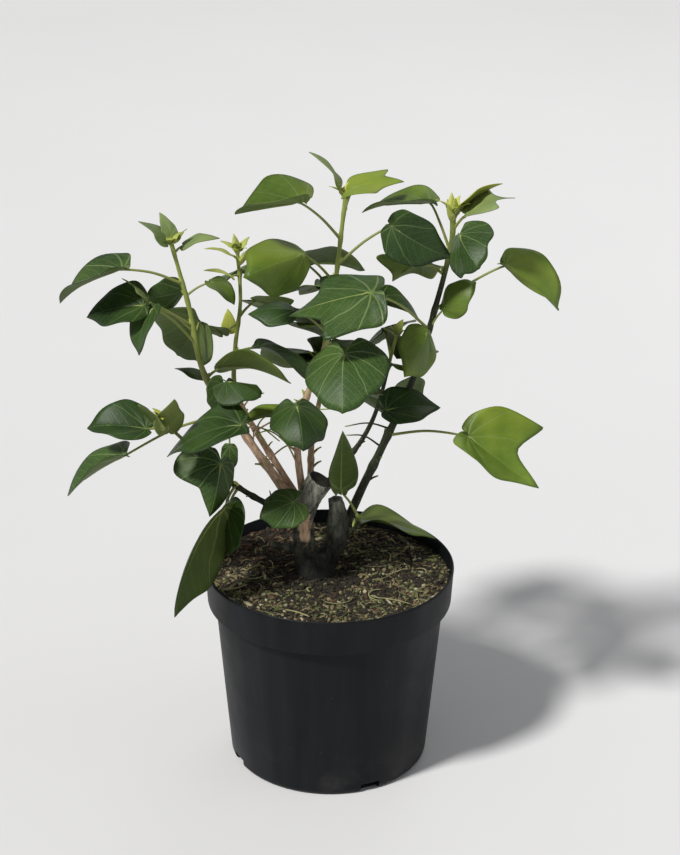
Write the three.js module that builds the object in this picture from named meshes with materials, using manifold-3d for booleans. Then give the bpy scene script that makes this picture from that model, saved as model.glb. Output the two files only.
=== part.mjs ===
// A shrubby tree ivy, about 45 cm high with its round nursery pot.
// Millimetres and degrees, +Z up, +X to the right and +Y away from the viewer.
// The origin is the middle of the pot's flat underside.
import * as THREE from "three";
import { mergeGeometries, mergeVertices } from "three/addons/utils/BufferGeometryUtils.js";
import Module from "manifold-3d";

const wasm = await Module();
wasm.setup();

// Air that is kept between two pieces
const CLEAR = 0.3;

// Pot: a tapered tub with a wider band round its rim
const POT_HEIGHT = 155;
const RIM_RADIUS = 92.5;
const BAND_HEIGHT = 27;
const BAND_OVERHANG = 5.5;
const BAND_DRAFT = 1.6;
const FOOT_RADIUS = 74.5;
const FOOT_ROUNDING = 4.5;
const FOOT_CORNER = 1.4;
const RIM_CORNER = 0.5;
const POT_WALL = 1.6;
const POT_FLOOR = 2;
const POT_SIDES = 40;

// Drain notches through the pot's lower edge
const NOTCH_COUNT = 4;
const NOTCH_FIRST_TURN = 25;
const NOTCH_WIDTH = 15;
const NOTCH_HEIGHT = 7;
const NOTCH_DEPTH = 12;

// Soil: level where the trunk stands, higher at the front left and lower at the back right
const SOIL_LEVEL = 146;
const SOIL_FLAT_RADIUS = 29;
const SOIL_EDGE_FRONT = 149.5;
const SOIL_EDGE_BACK = 144.5;
const SOIL_LOW_TURN = 150;
const SOIL_LUMPS = 1.1;
const SOIL_RINGS = [45, 60, 74];

// Trunk: an old V-shaped stock with one cut stub and one knob, and a dead side stick.
// Each limb has its way as points and its radius at each point.
const TRUNK_FOOT = SOIL_LEVEL + CLEAR;
const TRUNK_SIDES = 10;
const TRUNK_RINGS = 2;
const TRUNK_LIMBS = [
  { way: [[-11, 4, 138], [-11, 4, 147], [-13, 4, 162]], radii: [17, 14.5, 9.5] },
  { way: [[-15, 4, 140], [-19, 4, 170], [-20, 3, 203]], radii: [10, 8, 7.5] },
  { way: [[-20, 3, 192], [-15, 2, 208], [-8, 1, 223]], radii: [8, 8.5, 8] },
  { way: [[-8, 5, 150], [4, 7, 168], [6, 6, 188], [4, 5, 206]], radii: [7.5, 8, 8, 5] },
  { way: [[-20, 3, 165], [-33, 0, 168], [-45, -3, 173]], radii: [3.6, 2.8, 2.2] },
];

// Leaf outlines from the stalk's end: radius as a share of the blade's length, by angle from the tip
const OUTLINE_ANGLES = [0, 22, 45, 75, 110, 150, 180];
const OVATE = [1, 0.8, 0.62, 0.42, 0.24, 0.12, 0.06];
const HEART = [1, 0.84, 0.74, 0.67, 0.56, 0.4, 0.1];
const LOBED = [1, 0.68, 0.82, 0.5, 0.42, 0.18, 0.08];
const FORKED = [1, 0.62, 0.92, 0.5, 0.3, 0.14, 0.06];
const NARROW = [1, 0.64, 0.4, 0.26, 0.18, 0.1, 0.05];
const YOUNG = [1, 0.64, 0.5, 0.38, 0.26, 0.14, 0.06];

// Fold drops the two halves along the midrib, or lifts them below 0; arch bends the tip down
const FORMS = {
  ovate: { radii: OVATE, fold: -0.2, arch: 0.4 },
  gutter: { radii: OVATE, fold: -0.35, arch: 0.15 },
  shell: { radii: OVATE, fold: 0.35, arch: 0.4 },
  heart: { radii: HEART, fold: 0.3, arch: 0.3 },
  hood: { radii: HEART, fold: 0.6, arch: 0.4 },
  lobed: { radii: LOBED, fold: -0.1, arch: 0.15 },
  cupped: { radii: LOBED, fold: -0.4, arch: 0 },
  forked: { radii: FORKED, fold: -0.5, arch: 0 },
  narrow: { radii: NARROW, fold: 0, arch: 0.2 },
  young: { radii: YOUNG, fold: 0, arch: 0.4 },
};
const BLADE_THICKNESS = 0.9;
const YOUNG_BLADE = 32;
const YOUNG_THICKNESS = 0.7;
const BLADE_RING = 0.58;

// Stalks: radius at the stem and at the blade, how far they bow up, and how deep they run into the blade
const STALK_SIDES = 4;
const STALK_RINGS = 3;
const STALK_RADIUS = 1.2;
const STALK_END = 0.9;
const YOUNG_STALK = 0.8;
const STALK_BOW = 0.06;
const STALK_SINK = 0.14;

// Shoots. Each has its way from the trunk to its tip, its radius at foot and tip, and the share of
// its length that is a bare bough; above that it is a mass of foliage.
// A leaf is [share of the shoot, turn and rise of its stalk, stalk, blade, heading, dip, roll, form].
// Turns and headings: 0 faces the viewer, 90 the right, 180 the back and 270 the left.
// A bud is [share of the shoot, turn, rise, length].
// rear is how many more leaves grow by the seeded rule, and the turn that they spread about.
const SHOOTS = {
  left: {
    way: [[-22, 2, 196], [-60, 4, 254], [-90, 2, 304], [-100, 0, 356], [-112, 0, 406]],
    radii: [3.8, 1.3],
    bare: 0.38,
    leaves: [
      [0.4, 0, -80, 24, 22, 0, 75, 0, "narrow"],
      [0.4, 300, -10, 86, 54, 260, 30, 0, "gutter"],
      [0.42, 15, 10, 52, 54, 270, 5, -25, "ovate"],
      [0.44, 15, 50, 34, 26, 60, -10, 25, "hood"],
      [0.46, 20, 50, 20, 20, 340, 60, -60, "heart"],
      [0.52, 205, 0, 12, 24, 240, -20, 0, "narrow"],
      [0.54, 100, 35, 14, 48, 100, -5, -40, "ovate"],
      [0.66, 310, 45, 50, 32, 315, 35, 15, "ovate"],
      [0.68, 170, 25, 16, 40, 195, 40, 50, "hood"],
      [0.7, 300, 40, 46, 22, 250, -60, 20, "young"],
      [0.72, 300, 30, 44, 40, 270, 0, -35, "ovate"],
      [0.8, 200, 10, 16, 28, 325, 0, -90, "shell"],
      [0.82, 95, 30, 20, 22, 60, 10, 0, "ovate"],
      [0.86, 290, 20, 46, 54, 260, 20, 0, "gutter"],
      [0.96, 120, 35, 10, 26, 35, -40, -25, "cupped"],
      [0.98, 200, 60, 8, 22, 200, -60, 5, "young"],
      [0.98, 295, 45, 6, 22, 270, -65, 5, "young"],
    ],
    buds: [],
    rear: [0, 180],
  },
  low_left: {
    way: [[-22, -2, 190], [-66, -12, 222], [-90, -20, 248], [-120, -30, 284]],
    radii: [2.8, 1.1],
    bare: 0.36,
    leaves: [
      [0.4, 320, -45, 18, 38, 290, 75, 0, "heart"],
      [0.42, 340, -20, 24, 78, 295, 40, 50, "shell"],
      [0.52, 0, 50, 18, 44, 350, 55, -30, "hood"],
      [0.9, 285, 10, 20, 42, 270, -10, -30, "ovate"],
      [0.96, 25, -30, 6, 30, 25, -85, 0, "young"],
      [0.98, 325, -20, 6, 26, 315, -70, 0, "young"],
    ],
    buds: [],
    rear: [0, 180],
  },
  mid_left: {
    way: [[-24, 8, 205], [-66, 22, 275], [-70, 34, 308], [-66, 42, 346], [-68, 48, 384]],
    radii: [2.8, 1.2],
    bare: 0.5,
    leaves: [
      [0.72, 285, -30, 14, 26, 310, -70, 0, "young"],
      [0.72, 225, -40, 14, 20, 160, -75, 0, "young"],
      [0.9, 310, 10, 8, 20, 290, -40, 0, "young"],
      [0.96, 295, 40, 8, 20, 300, -40, 0, "young"],
    ],
    buds: [[0.98, 270, 80, 16], [0.94, 60, 60, 14]],
    rear: [3, 140],
  },
  centre: {
    way: [[-20, 6, 205], [-24, 8, 251], [-18, 8, 283], [-2, 5, 337], [10, 4, 440]],
    radii: [2.9, 1.4],
    bare: 0.27,
    leaves: [
      [0.3, 355, 25, 44, 32, 10, 15, 0, "hood"],
      [0.34, 275, -35, 20, 30, 295, -15, 0, "ovate"],
      [0.44, 20, 30, 64, 46, 355, 20, 10, "heart"],
      [0.54, 105, 35, 50, 36, 100, 15, 5, "ovate"],
      [0.56, 295, 40, 34, 30, 275, -15, -15, "shell"],
      [0.68, 215, 25, 36, 42, 100, 0, 0, "ovate"],
      [0.72, 305, 45, 38, 46, 320, -5, -50, "shell"],
      [0.78, 70, 40, 52, 42, 55, 25, 80, "ovate"],
      [0.86, 290, 45, 42, 50, 265, 10, 5, "cupped"],
      [0.94, 65, 55, 18, 38, 75, -15, 10, "lobed"],
      [0.98, 270, 70, 12, 28, 255, -70, 10, "young"],
    ],
    buds: [[0.98, 90, 60, 10]],
    rear: [0, 180],
  },
  right: {
    way: [[10, 12, 178], [24, 18, 209], [58, 20, 290], [75, 10, 358], [84, 5, 405], [84, 5, 430]],
    radii: [3.5, 1.7],
    bare: 0.27,
    leaves: [
      [0.3, 65, 10, 64, 62, 75, 35, 25, "forked"],
      [0.38, 330, 20, 22, 38, 95, -15, 30, "ovate"],
      [0.54, 15, 60, 32, 38, 350, 20, -50, "shell"],
      [0.64, 330, 35, 74, 60, 270, 15, -10, "lobed"],
      [0.64, 45, 55, 24, 28, 45, -55, 80, "shell"],
      [0.7, 90, 35, 60, 52, 80, 30, 10, "gutter"],
      [0.86, 10, 40, 42, 32, 5, 10, 50, "hood"],
      [0.88, 245, 65, 36, 48, 260, 0, 5, "gutter"],
      [0.94, 60, 50, 20, 32, 95, -30, 0, "lobed"],
      [0.96, 80, 65, 10, 32, 125, -45, -50, "young"],
    ],
    buds: [[0.96, 300, 70, 16], [0.98, 200, 80, 16], [0.98, 20, 75, 14]],
    rear: [2, 230],
  },
  mid_right: {
    way: [[-7, 5, 213], [15, 26, 231], [33, 34, 262], [48, 50, 318]],
    radii: [2.4, 1.2],
    bare: 0.45,
    leaves: [],
    buds: [],
    rear: [3, 170],
  },
  back: {
    way: [[-14, 10, 200], [-14, 40, 235], [-6, 64, 275], [2, 78, 345]],
    radii: [2.8, 1.2],
    bare: 0.4,
    leaves: [],
    buds: [[0.98, 190, 80, 14]],
    rear: [8, 185],
  },
  foot_left: {
    way: [[-22, -3, 198], [-25, -14, 210], [-25, -22, 216]],
    radii: [1.6, 1.2],
    bare: 0,
    leaves: [[0.94, 340, 20, 4, 32, 300, 5, -30, "heart"]],
    buds: [],
    rear: [0, 180],
  },
  foot_right: {
    way: [[8, 4, 172], [18, 4, 182], [22, 2, 194]],
    radii: [1.8, 1.2],
    bare: 0,
    leaves: [
      [0.5, 170, -15, 36, 54, 110, -10, -10, "ovate"],
      [0.9, 290, 60, 28, 50, 345, -85, 40, "narrow"],
    ],
    buds: [],
    rear: [0, 180],
  },
};
const STEM_SIDES = 8;
const STEM_STEP = 20;
const STEM_TAPER = 1.4;
const BUD_SIDES = 5;
const BUD_RINGS = 3;
const BUD_SLIMNESS = 0.17;
const BUD_SWELL = [0.15, 0.95];

// Seeded rule for the rear leaves: they climb the shoot in turn, spread over the far side,
// and grow smaller towards the tip
const REAR_SPREAD = 45;
const GOLDEN_TURN = 137.5;
const REAR_DRIFT = 0.3;
const REAR_SHARES = [0.39, 0.95];
const REAR_ABOVE_BOUGH = 0.04;
const REAR_STALK = [18, 36];
const REAR_STALK_AT_TIP = 0.7;
const REAR_BLADE = [50, 36];
const REAR_BLADE_SPREAD = [0.85, 1.1];
const REAR_RISE = [10, 45];
const REAR_DIP = [-5, 35];
const REAR_SWING = 30;
const REAR_ROLL = 40;
const REAR_FORMS = ["ovate", "lobed", "heart"];
const SEED_PER_SHOOT = 31;
const SEED_PER_LEAF = 7;

const radians = THREE.MathUtils.degToRad;
const lerp = THREE.MathUtils.lerp;
const UP = new THREE.Vector3(0, 0, 1);
const point = ([x, y, z]) => new THREE.Vector3(x, y, z);

// Direction of a turn round the plant and a rise above level
function direction(turn, rise) {
  const level = Math.cos(radians(rise));
  return point([Math.sin(radians(turn)) * level, -Math.cos(radians(turn)) * level, Math.sin(radians(rise))]);
}

// Repeatable unevenness between 0 and 1
function wobble(number) {
  const wave = Math.sin(number * 12.9898) * 43758.5453;
  return wave - Math.floor(wave);
}

function mergedGeometry(geometry) {
  geometry.deleteAttribute("normal");
  geometry.deleteAttribute("uv");
  return mergeVertices(geometry);
}

function solidFrom(geometry) {
  const merged = mergedGeometry(geometry);
  const corners = merged.index.array;
  const triangles = [];
  for (let i = 0; i < corners.length; i += 3) {
    const [a, b, c] = corners.slice(i, i + 3);
    if (a !== b && b !== c && c !== a) triangles.push(a, b, c);
  }
  const vertProperties = new Float32Array(merged.attributes.position.array);
  const triVerts = new Uint32Array(triangles);
  return new wasm.Manifold(new wasm.Mesh({ numProp: 3, vertProperties, triVerts }));
}

function moveVertices(geometry, place) {
  const position = geometry.attributes.position;
  const vertex = new THREE.Vector3();
  for (let i = 0; i < position.count; i += 1) {
    vertex.fromBufferAttribute(position, i);
    const moved = place(vertex.clone());
    position.setXYZ(i, moved.x, moved.y, moved.z);
  }
  return geometry;
}

const smoothWay = (way) => new THREE.CatmullRomCurve3(way.map(point), false, "catmullrom", 0.5);

// A closed tapering limb: a cylinder bent along a curve from one share of its length to another.
// A steep one takes its sides' direction from +Y, the others from +Z.
const STEEP_LIMB = 0.8;
function limb(curve, from, to, radiusAt, sides, rings) {
  const chord = curve.getPointAt(to).sub(curve.getPointAt(from)).normalize();
  const reference = Math.abs(chord.z) > STEEP_LIMB ? new THREE.Vector3(0, 1, 0) : UP;
  const rod = mergedGeometry(new THREE.CylinderGeometry(1, 1, 1, sides, rings));
  moveVertices(rod, (vertex) => {
    const share = from + (to - from) * (vertex.y + 0.5);
    const tangent = curve.getTangentAt(share);
    const across = new THREE.Vector3().crossVectors(reference, tangent).normalize();
    const along = new THREE.Vector3().crossVectors(tangent, across);
    const radius = radiusAt(share);
    return curve.getPointAt(share)
      .addScaledVector(along, vertex.x * radius)
      .addScaledVector(across, vertex.z * radius);
  });
  return solidFrom(rod);
}

function revolved(profile, sides, place) {
  const lathe = new THREE.LatheGeometry(profile.map(([x, y]) => new THREE.Vector2(x, y)), sides);
  lathe.rotateX(Math.PI / 2);
  return solidFrom(place ? moveVertices(mergedGeometry(lathe), place) : lathe);
}

function box(width, depth, height, x, y, z, turn = 0) {
  const shape = new THREE.BoxGeometry(width, depth, height);
  shape.translate(x, y, z);
  shape.rotateZ(radians(turn));
  return solidFrom(shape);
}

const bandBottom = POT_HEIGHT - BAND_HEIGHT;
const bodyTopRadius = RIM_RADIUS - BAND_DRAFT - BAND_OVERHANG;

function potPiece() {
  const rimInside = RIM_RADIUS - POT_WALL;
  const profile = [
    [0, 0],
    [FOOT_RADIUS - FOOT_ROUNDING, 0],
    [FOOT_RADIUS - FOOT_CORNER, FOOT_CORNER],
    [FOOT_RADIUS, FOOT_ROUNDING],
    [bodyTopRadius, bandBottom],
    [RIM_RADIUS - BAND_DRAFT, bandBottom],
    [RIM_RADIUS, POT_HEIGHT - RIM_CORNER * 2],
    [RIM_RADIUS - RIM_CORNER, POT_HEIGHT],
    [rimInside + RIM_CORNER, POT_HEIGHT],
    [rimInside, POT_HEIGHT - RIM_CORNER * 2],
    [rimInside - BAND_DRAFT, bandBottom + POT_WALL],
    [bodyTopRadius - POT_WALL, bandBottom],
    [FOOT_RADIUS - POT_WALL, FOOT_ROUNDING + POT_FLOOR],
    [FOOT_RADIUS - FOOT_ROUNDING, POT_FLOOR],
    [0, POT_FLOOR],
  ];
  let pot = revolved(profile, POT_SIDES);
  for (let i = 0; i < NOTCH_COUNT; i += 1) {
    const turn = NOTCH_FIRST_TURN + (360 / NOTCH_COUNT) * i;
    const height = NOTCH_HEIGHT * 2;
    pot = pot.subtract(box(NOTCH_WIDTH, NOTCH_DEPTH, height, 0, -FOOT_RADIUS, 0, turn));
  }
  return pot;
}

function soilPiece() {
  const edge = RIM_RADIUS - POT_WALL - CLEAR * 2;
  const bandShare = (SOIL_LEVEL - bandBottom) / BAND_HEIGHT;
  const edgeRadius = edge - BAND_DRAFT * (1 - bandShare);
  const profile = [
    [0, POT_FLOOR + CLEAR],
    [FOOT_RADIUS - FOOT_ROUNDING - CLEAR, POT_FLOOR + CLEAR],
    [FOOT_RADIUS - POT_WALL - CLEAR * 2, FOOT_ROUNDING + POT_FLOOR + CLEAR],
    [bodyTopRadius - POT_WALL - CLEAR, bandBottom],
    [edge - BAND_DRAFT, bandBottom + POT_WALL + CLEAR],
    [edgeRadius, SOIL_LEVEL],
    ...[...SOIL_RINGS].reverse().map((radius) => [radius, SOIL_LEVEL]),
    [SOIL_FLAT_RADIUS, SOIL_LEVEL],
    [0, SOIL_LEVEL],
  ];
  const low = direction(SOIL_LOW_TURN, 0);
  return revolved(profile, POT_SIDES, (vertex) => {
    const radius = Math.hypot(vertex.x, vertex.y);
    if (vertex.z < SOIL_LEVEL - CLEAR || radius <= SOIL_FLAT_RADIUS + CLEAR) return vertex;
    const outward = (radius - SOIL_FLAT_RADIUS) / (edgeRadius - SOIL_FLAT_RADIUS);
    const lowShare = 0.5 + (0.5 * (vertex.x * low.x + vertex.y * low.y)) / radius;
    const edgeHeight = lerp(SOIL_EDGE_FRONT, SOIL_EDGE_BACK, lowShare);
    const lump = SOIL_LUMPS * (wobble(Math.round(vertex.x) + vertex.y) - 0.5);
    vertex.z = lerp(SOIL_LEVEL, edgeHeight, outward) + lump;
    return vertex;
  });
}

// The trunk, or with a growth above 0 the space that other pieces keep clear of
function trunkPiece(growth) {
  let trunk = null;
  for (const { way, radii } of TRUNK_LIMBS) {
    const last = radii.length - 1;
    const radiusAt = (share) => {
      const step = Math.min(Math.floor(share * last), last - 1);
      return lerp(radii[step], radii[step + 1], share * last - step) + growth;
    };
    const piece = limb(smoothWay(way), 0, 1, radiusAt, TRUNK_SIDES, last * TRUNK_RINGS);
    trunk = trunk ? trunk.add(piece) : piece;
  }
  const ground = box(RIM_RADIUS * 2, RIM_RADIUS * 2, SOIL_LEVEL, 0, 0, TRUNK_FOOT - growth - SOIL_LEVEL / 2);
  return trunk.subtract(ground);
}

function stemRadiusAt({ radii }, growth = 0) {
  return (share) => radii[1] + (radii[0] - radii[1]) * (1 - share) ** STEM_TAPER + growth;
}

function stemPiece(shoot, from, to, growth = 0) {
  const curve = smoothWay(shoot.way);
  const rings = Math.max(2, Math.round((curve.getLength() * (to - from)) / STEM_STEP));
  return limb(curve, from, to, stemRadiusAt(shoot, growth), STEM_SIDES, rings);
}

// A blade is a thin disc whose rim is drawn out to the leaf's outline, folded and arched.
// Its underside mirrors its upper side triangle by triangle, so the two never cross.
function bladePiece(base, along, upward, blade, form, thickness) {
  const { radii, fold, arch } = FORMS[form];
  const half = thickness / 2;
  const ring = blade < YOUNG_BLADE ? [] : [[BLADE_RING, half]];
  const profile = [[0, half], ...ring, [1, 0]];
  const sides = (OUTLINE_ANGLES.length - 1) * 2;
  const upper = new THREE.LatheGeometry(profile.map(([x, y]) => new THREE.Vector2(x, y)), sides);
  const under = upper.clone().scale(1, -1, 1);
  under.index.array.reverse();
  const disc = mergeGeometries([upper, under]);
  const across = new THREE.Vector3().crossVectors(along, upward);
  return solidFrom(moveVertices(mergedGeometry(disc), (vertex) => {
    const turned = Math.atan2(vertex.x, vertex.z) / (Math.PI * 2) * sides;
    const station = Math.abs(Math.round(turned));
    const angle = radians(OUTLINE_ANGLES[station]) * Math.sign(turned || 1);
    const reach = Math.hypot(vertex.x, vertex.z) * radii[station] * blade;
    const forward = reach * Math.cos(angle);
    const sideways = reach * Math.sin(angle);
    const droop = fold * Math.abs(sideways) + (arch * forward * Math.abs(forward)) / blade;
    return base.clone()
      .addScaledVector(along, forward)
      .addScaledVector(across, sideways)
      .addScaledVector(upward, vertex.y - droop);
  }));
}

function leafPiece(shoot, [share, turn, rise, stalk, blade, head, dip, roll, form]) {
  const foot = smoothWay(shoot.way).getPointAt(share);
  const base = foot.clone().addScaledVector(direction(turn, rise), stalk);
  const along = direction(head, -dip);
  const upward = UP.clone().addScaledVector(along, -along.z).normalize().applyAxisAngle(along, radians(roll));
  const young = blade < YOUNG_BLADE;
  const thickness = young ? YOUNG_THICKNESS : BLADE_THICKNESS;
  const plate = bladePiece(base, along, upward, blade, form, thickness);
  const middle = foot.clone().lerp(base, 0.5).addScaledVector(UP, STALK_BOW * stalk);
  const sink = STALK_SINK * blade;
  const slope = FORMS[form].arch * (young ? 1 : BLADE_RING);
  const inside = base.clone().addScaledVector(along, sink).addScaledVector(upward, -sink * slope);
  const curve = new THREE.CatmullRomCurve3([foot, middle, base, inside], false, "catmullrom", 0.5);
  const size = young ? YOUNG_STALK : 1;
  const radiusAt = (along) => lerp(STALK_RADIUS, STALK_END, along) * size;
  return plate.add(limb(curve, 0, 1, radiusAt, STALK_SIDES, STALK_RINGS));
}

function budPiece(shoot, [share, turn, rise, length]) {
  const foot = smoothWay(shoot.way).getPointAt(share);
  const tip = foot.clone().addScaledVector(direction(turn, rise), length);
  const radiusAt = (along) => length * BUD_SLIMNESS * Math.sin(Math.PI * lerp(...BUD_SWELL, along));
  return limb(new THREE.LineCurve3(foot, tip), 0, 1, radiusAt, BUD_SIDES, BUD_RINGS);
}

// Rear leaf rows by the seeded rule, in the same form as the rows above
function rearLeaves(shoot, seed) {
  const [count, middle] = shoot.rear;
  const rows = [];
  for (let i = 0; i < count; i += 1) {
    const height = (i + 0.5) / count;
    const lowest = Math.max(shoot.bare + REAR_ABOVE_BOUGH, REAR_SHARES[0]);
    const share = lerp(lowest, REAR_SHARES[1], height);
    const pick = (number) => wobble(seed * SEED_PER_SHOOT + i * SEED_PER_LEAF + number);
    const sweep = ((i * GOLDEN_TURN) / 180 + pick(1) * REAR_DRIFT) % 2 - 1;
    const turn = middle + sweep * REAR_SPREAD;
    const rise = lerp(...REAR_RISE, pick(2));
    const stalk = lerp(...REAR_STALK, pick(3)) * lerp(1, REAR_STALK_AT_TIP, height);
    const blade = lerp(...REAR_BLADE, height) * lerp(...REAR_BLADE_SPREAD, pick(4));
    const head = turn + (pick(5) - 0.5) * 2 * REAR_SWING;
    const dip = lerp(...REAR_DIP, pick(6));
    const roll = (pick(7) - 0.5) * 2 * REAR_ROLL;
    rows.push([share, turn, rise, stalk, blade, head, dip, roll, REAR_FORMS[i % REAR_FORMS.length]]);
  }
  return rows;
}

// A mass starts just clear of its bough, or of the trunk where it has no bough.
// A leaf or bud that would touch one of the taken spaces is left out.
function massPiece(shoot, seed, taken) {
  const gap = shoot.bare > 0 ? CLEAR / smoothWay(shoot.way).getLength() : 0;
  const stem = stemPiece(shoot, shoot.bare + gap, 1);
  const sprigs = [
    ...shoot.leaves.map((row) => leafPiece(shoot, row)),
    ...shoot.buds.map((row) => budPiece(shoot, row)),
    ...rearLeaves(shoot, seed).map((row) => leafPiece(shoot, row)),
  ];
  const free = sprigs.filter((sprig) => taken.every(({ space }) => sprig.intersect(space).isEmpty()));
  return free.reduce((mass, sprig) => mass.add(sprig), shoot.bare > 0 ? stem : stem.subtract(trunkSpace));
}

const plant = new THREE.Group();

function show(name, solid, color, roughness) {
  const { vertProperties, triVerts } = solid.getMesh();
  const geometry = new THREE.BufferGeometry();
  geometry.setAttribute("position", new THREE.BufferAttribute(new Float32Array(vertProperties), 3));
  geometry.setIndex(new THREE.BufferAttribute(new Uint32Array(triVerts), 1));
  geometry.computeVertexNormals();
  const mesh = new THREE.Mesh(geometry, new THREE.MeshStandardMaterial({ color, roughness, metalness: 0 }));
  mesh.name = name;
  plant.add(mesh);
}

const pot = potPiece();
const soil = soilPiece();
const trunkSpace = trunkPiece(CLEAR);
show("pot", pot, 0x25282b, 0.55);
show("soil", soil, 0x3d3226, 0.95);
show("trunk", trunkPiece(0), 0x4a4239, 0.9);

// Each piece leaves room for those before it, and each leaf for every stem
const taken = [trunkSpace, pot, soil].map((space) => ({ owner: "", space }));
for (const [name, shoot] of Object.entries(SHOOTS)) {
  if (shoot.bare > 0) {
    const bough = taken.reduce((rest, { space }) => rest.subtract(space), stemPiece(shoot, 0, shoot.bare));
    show(`bough_${name}`, bough, 0x5d5a3c, 0.8);
  }
  taken.push({ owner: name, space: stemPiece(shoot, 0, 1, CLEAR) });
}
Object.entries(SHOOTS).forEach(([name, shoot], seed) => {
  const mass = massPiece(shoot, seed, taken.filter(({ owner }) => owner !== name));
  show(`foliage_${name}`, mass, 0x3f6b35, 0.5);
  taken.push({ owner: "", space: mass });
});

export default plant;
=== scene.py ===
# Looks of the potted tree ivy: leaves on slender stems, an old woody stock, peat and a nursery pot.
# Sizes are in millimetres and degrees, as in the part's source, and each mesh is made in metres.
# Turns and headings: 0 faces the viewer, 90 the right, 180 the back and 270 the left.
import math
import random
from collections import namedtuple

import bmesh
import bpy
from mathutils import Matrix, Vector, noise
from mathutils.bvhtree import BVHTree


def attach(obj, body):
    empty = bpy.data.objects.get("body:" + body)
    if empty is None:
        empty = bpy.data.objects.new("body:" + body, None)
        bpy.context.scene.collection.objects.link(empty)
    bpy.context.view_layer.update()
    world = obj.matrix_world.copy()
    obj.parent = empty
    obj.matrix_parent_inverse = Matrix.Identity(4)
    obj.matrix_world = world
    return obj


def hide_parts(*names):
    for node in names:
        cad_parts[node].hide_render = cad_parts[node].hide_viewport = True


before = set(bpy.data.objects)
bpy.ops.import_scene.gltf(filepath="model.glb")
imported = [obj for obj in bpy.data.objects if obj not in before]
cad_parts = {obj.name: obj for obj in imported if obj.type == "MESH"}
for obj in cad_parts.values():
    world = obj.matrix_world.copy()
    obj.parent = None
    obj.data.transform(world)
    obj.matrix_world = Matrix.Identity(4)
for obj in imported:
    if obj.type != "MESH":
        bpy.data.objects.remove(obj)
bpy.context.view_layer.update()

MM = 0.001

# Camera at the photograph's viewing angle
CAMERA_PLACE = (0.007, -1.425, 0.887)
CAMERA_TILT = 66.42
CAMERA_ROLL = 0.43
CAMERA_LENS = 90.57
CAMERA_SENSOR = 36

# Pot
POT_HEIGHT = 155
RIM_RADIUS = 92.5
BAND_HEIGHT = 27
BAND_OVERHANG = 5.5
BAND_DRAFT = 1.6
FOOT_RADIUS = 74.5
FOOT_ROUNDING = 4.5
POT_WALL = 1.6
POT_FLOOR = 2
POT_STEPS = 192
NOTCH_COUNT = 4
NOTCH_FIRST_TURN = 25
NOTCH_SIZE = (15, 12, 14)
POT_SHARP_ANGLE = 40

# Soil
SOIL_LEVEL = 146
SOIL_FLAT_RADIUS = 29
SOIL_RADIUS = 90
SOIL_EDGE_FRONT = 149.5
SOIL_EDGE_BACK = 144.5
SOIL_LOW_TURN = 150
SOIL_DEPTH = 20

# Trunk: limbs of the old stock, each with its way and its radius at each point
TRUNK_FOOT = 146.3
TRUNK_LIMBS = [
    ([(-11, 4, 138), (-11, 4, 147), (-13, 4, 162)], [17, 14.5, 9.5]),
    ([(-15, 4, 140), (-19, 4, 170), (-20, 3, 203)], [10, 8, 7.5]),
    ([(-20, 3, 192), (-15, 2, 208), (-7, 1, 223)], [8, 9, 9.8]),
    ([(-8, 5, 150), (4, 7, 168), (6, 6, 188), (4, 5, 206)], [7.5, 8, 8, 5]),
    ([(-20, 3, 165), (-33, 0, 168), (-45, -3, 173)], [3.6, 2.8, 2.2]),
]

# Leaf outlines from the stalk's end: radius as a share of the blade's length, by angle from the tip
OUTLINE_ANGLES = [0, 22, 45, 75, 110, 150, 180]
OVATE = [1, 0.8, 0.62, 0.42, 0.24, 0.12, 0.06]
HEART = [1, 0.84, 0.74, 0.67, 0.56, 0.4, 0.1]
LOBED = [1, 0.68, 0.82, 0.5, 0.42, 0.18, 0.08]
FORKED = [1, 0.62, 0.92, 0.5, 0.3, 0.14, 0.06]
NARROW = [1, 0.64, 0.4, 0.26, 0.18, 0.1, 0.05]
YOUNG = [1, 0.64, 0.5, 0.38, 0.26, 0.14, 0.06]

WAVY = [0.94, 0.8, 0.78, 0.56, 0.4, 0.18, 0.08]
BLUNT = [0.95, 0.86, 0.64, 0.42, 0.24, 0.12, 0.06]
SPINDLE = [1, 0.52, 0.24, 0.12, 0.08, 0.06, 0.05]
SLENDER = [1, 0.64, 0.44, 0.36, 0.3, 0.18, 0.08]

# Each form has its outline, how far its two halves fold along the midrib, its arch,
# how pointed its side lobes are and how blunt its tip is
FORMS = {
    "ovate": (OVATE, -0.2, 0.4, 0, 0),
    "gutter": (OVATE, -0.35, 0.15, 0, 0),
    "shell": (OVATE, 0.35, 0.4, 0, 0),
    "cowl": (OVATE, 0.75, 0.35, 0, 0),
    "blunt": (BLUNT, -0.45, 0.15, 0, 0.7),
    "wavy": (WAVY, -0.45, 0.05, 0.1, 0.4),
    "heart": (HEART, 0.3, 0.3, 0, 0),
    "hood": (HEART, 0.6, 0.4, 0, 0),
    "lobed": (LOBED, -0.1, 0.15, 0.35, 0),
    "vaulted": (LOBED, 0.24, 0.12, 0.35, 0),
    "forked": (FORKED, -0.5, 0, 0.7, 0),
    "winged": (SLENDER, 0.6, 0.3, 0, 0),
    "narrow": (NARROW, 0, 0.2, 0, 0),
    "sheath": (SPINDLE, 0.9, 0.15, 0, 0),
    "young": (YOUNG, 0, 0.4, 0, 0.15),
}

# The forked leaf has a lobe on its far half only, and the winged leaf on its near half only
NEAR_HALVES = {
    "forked": [1, 0.66, 0.47, 0.38, 0.28, 0.14, 0.06],
    "winged": [1, 0.62, 0.6, 0.82, 0.66, 0.34, 0.08],
}

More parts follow.
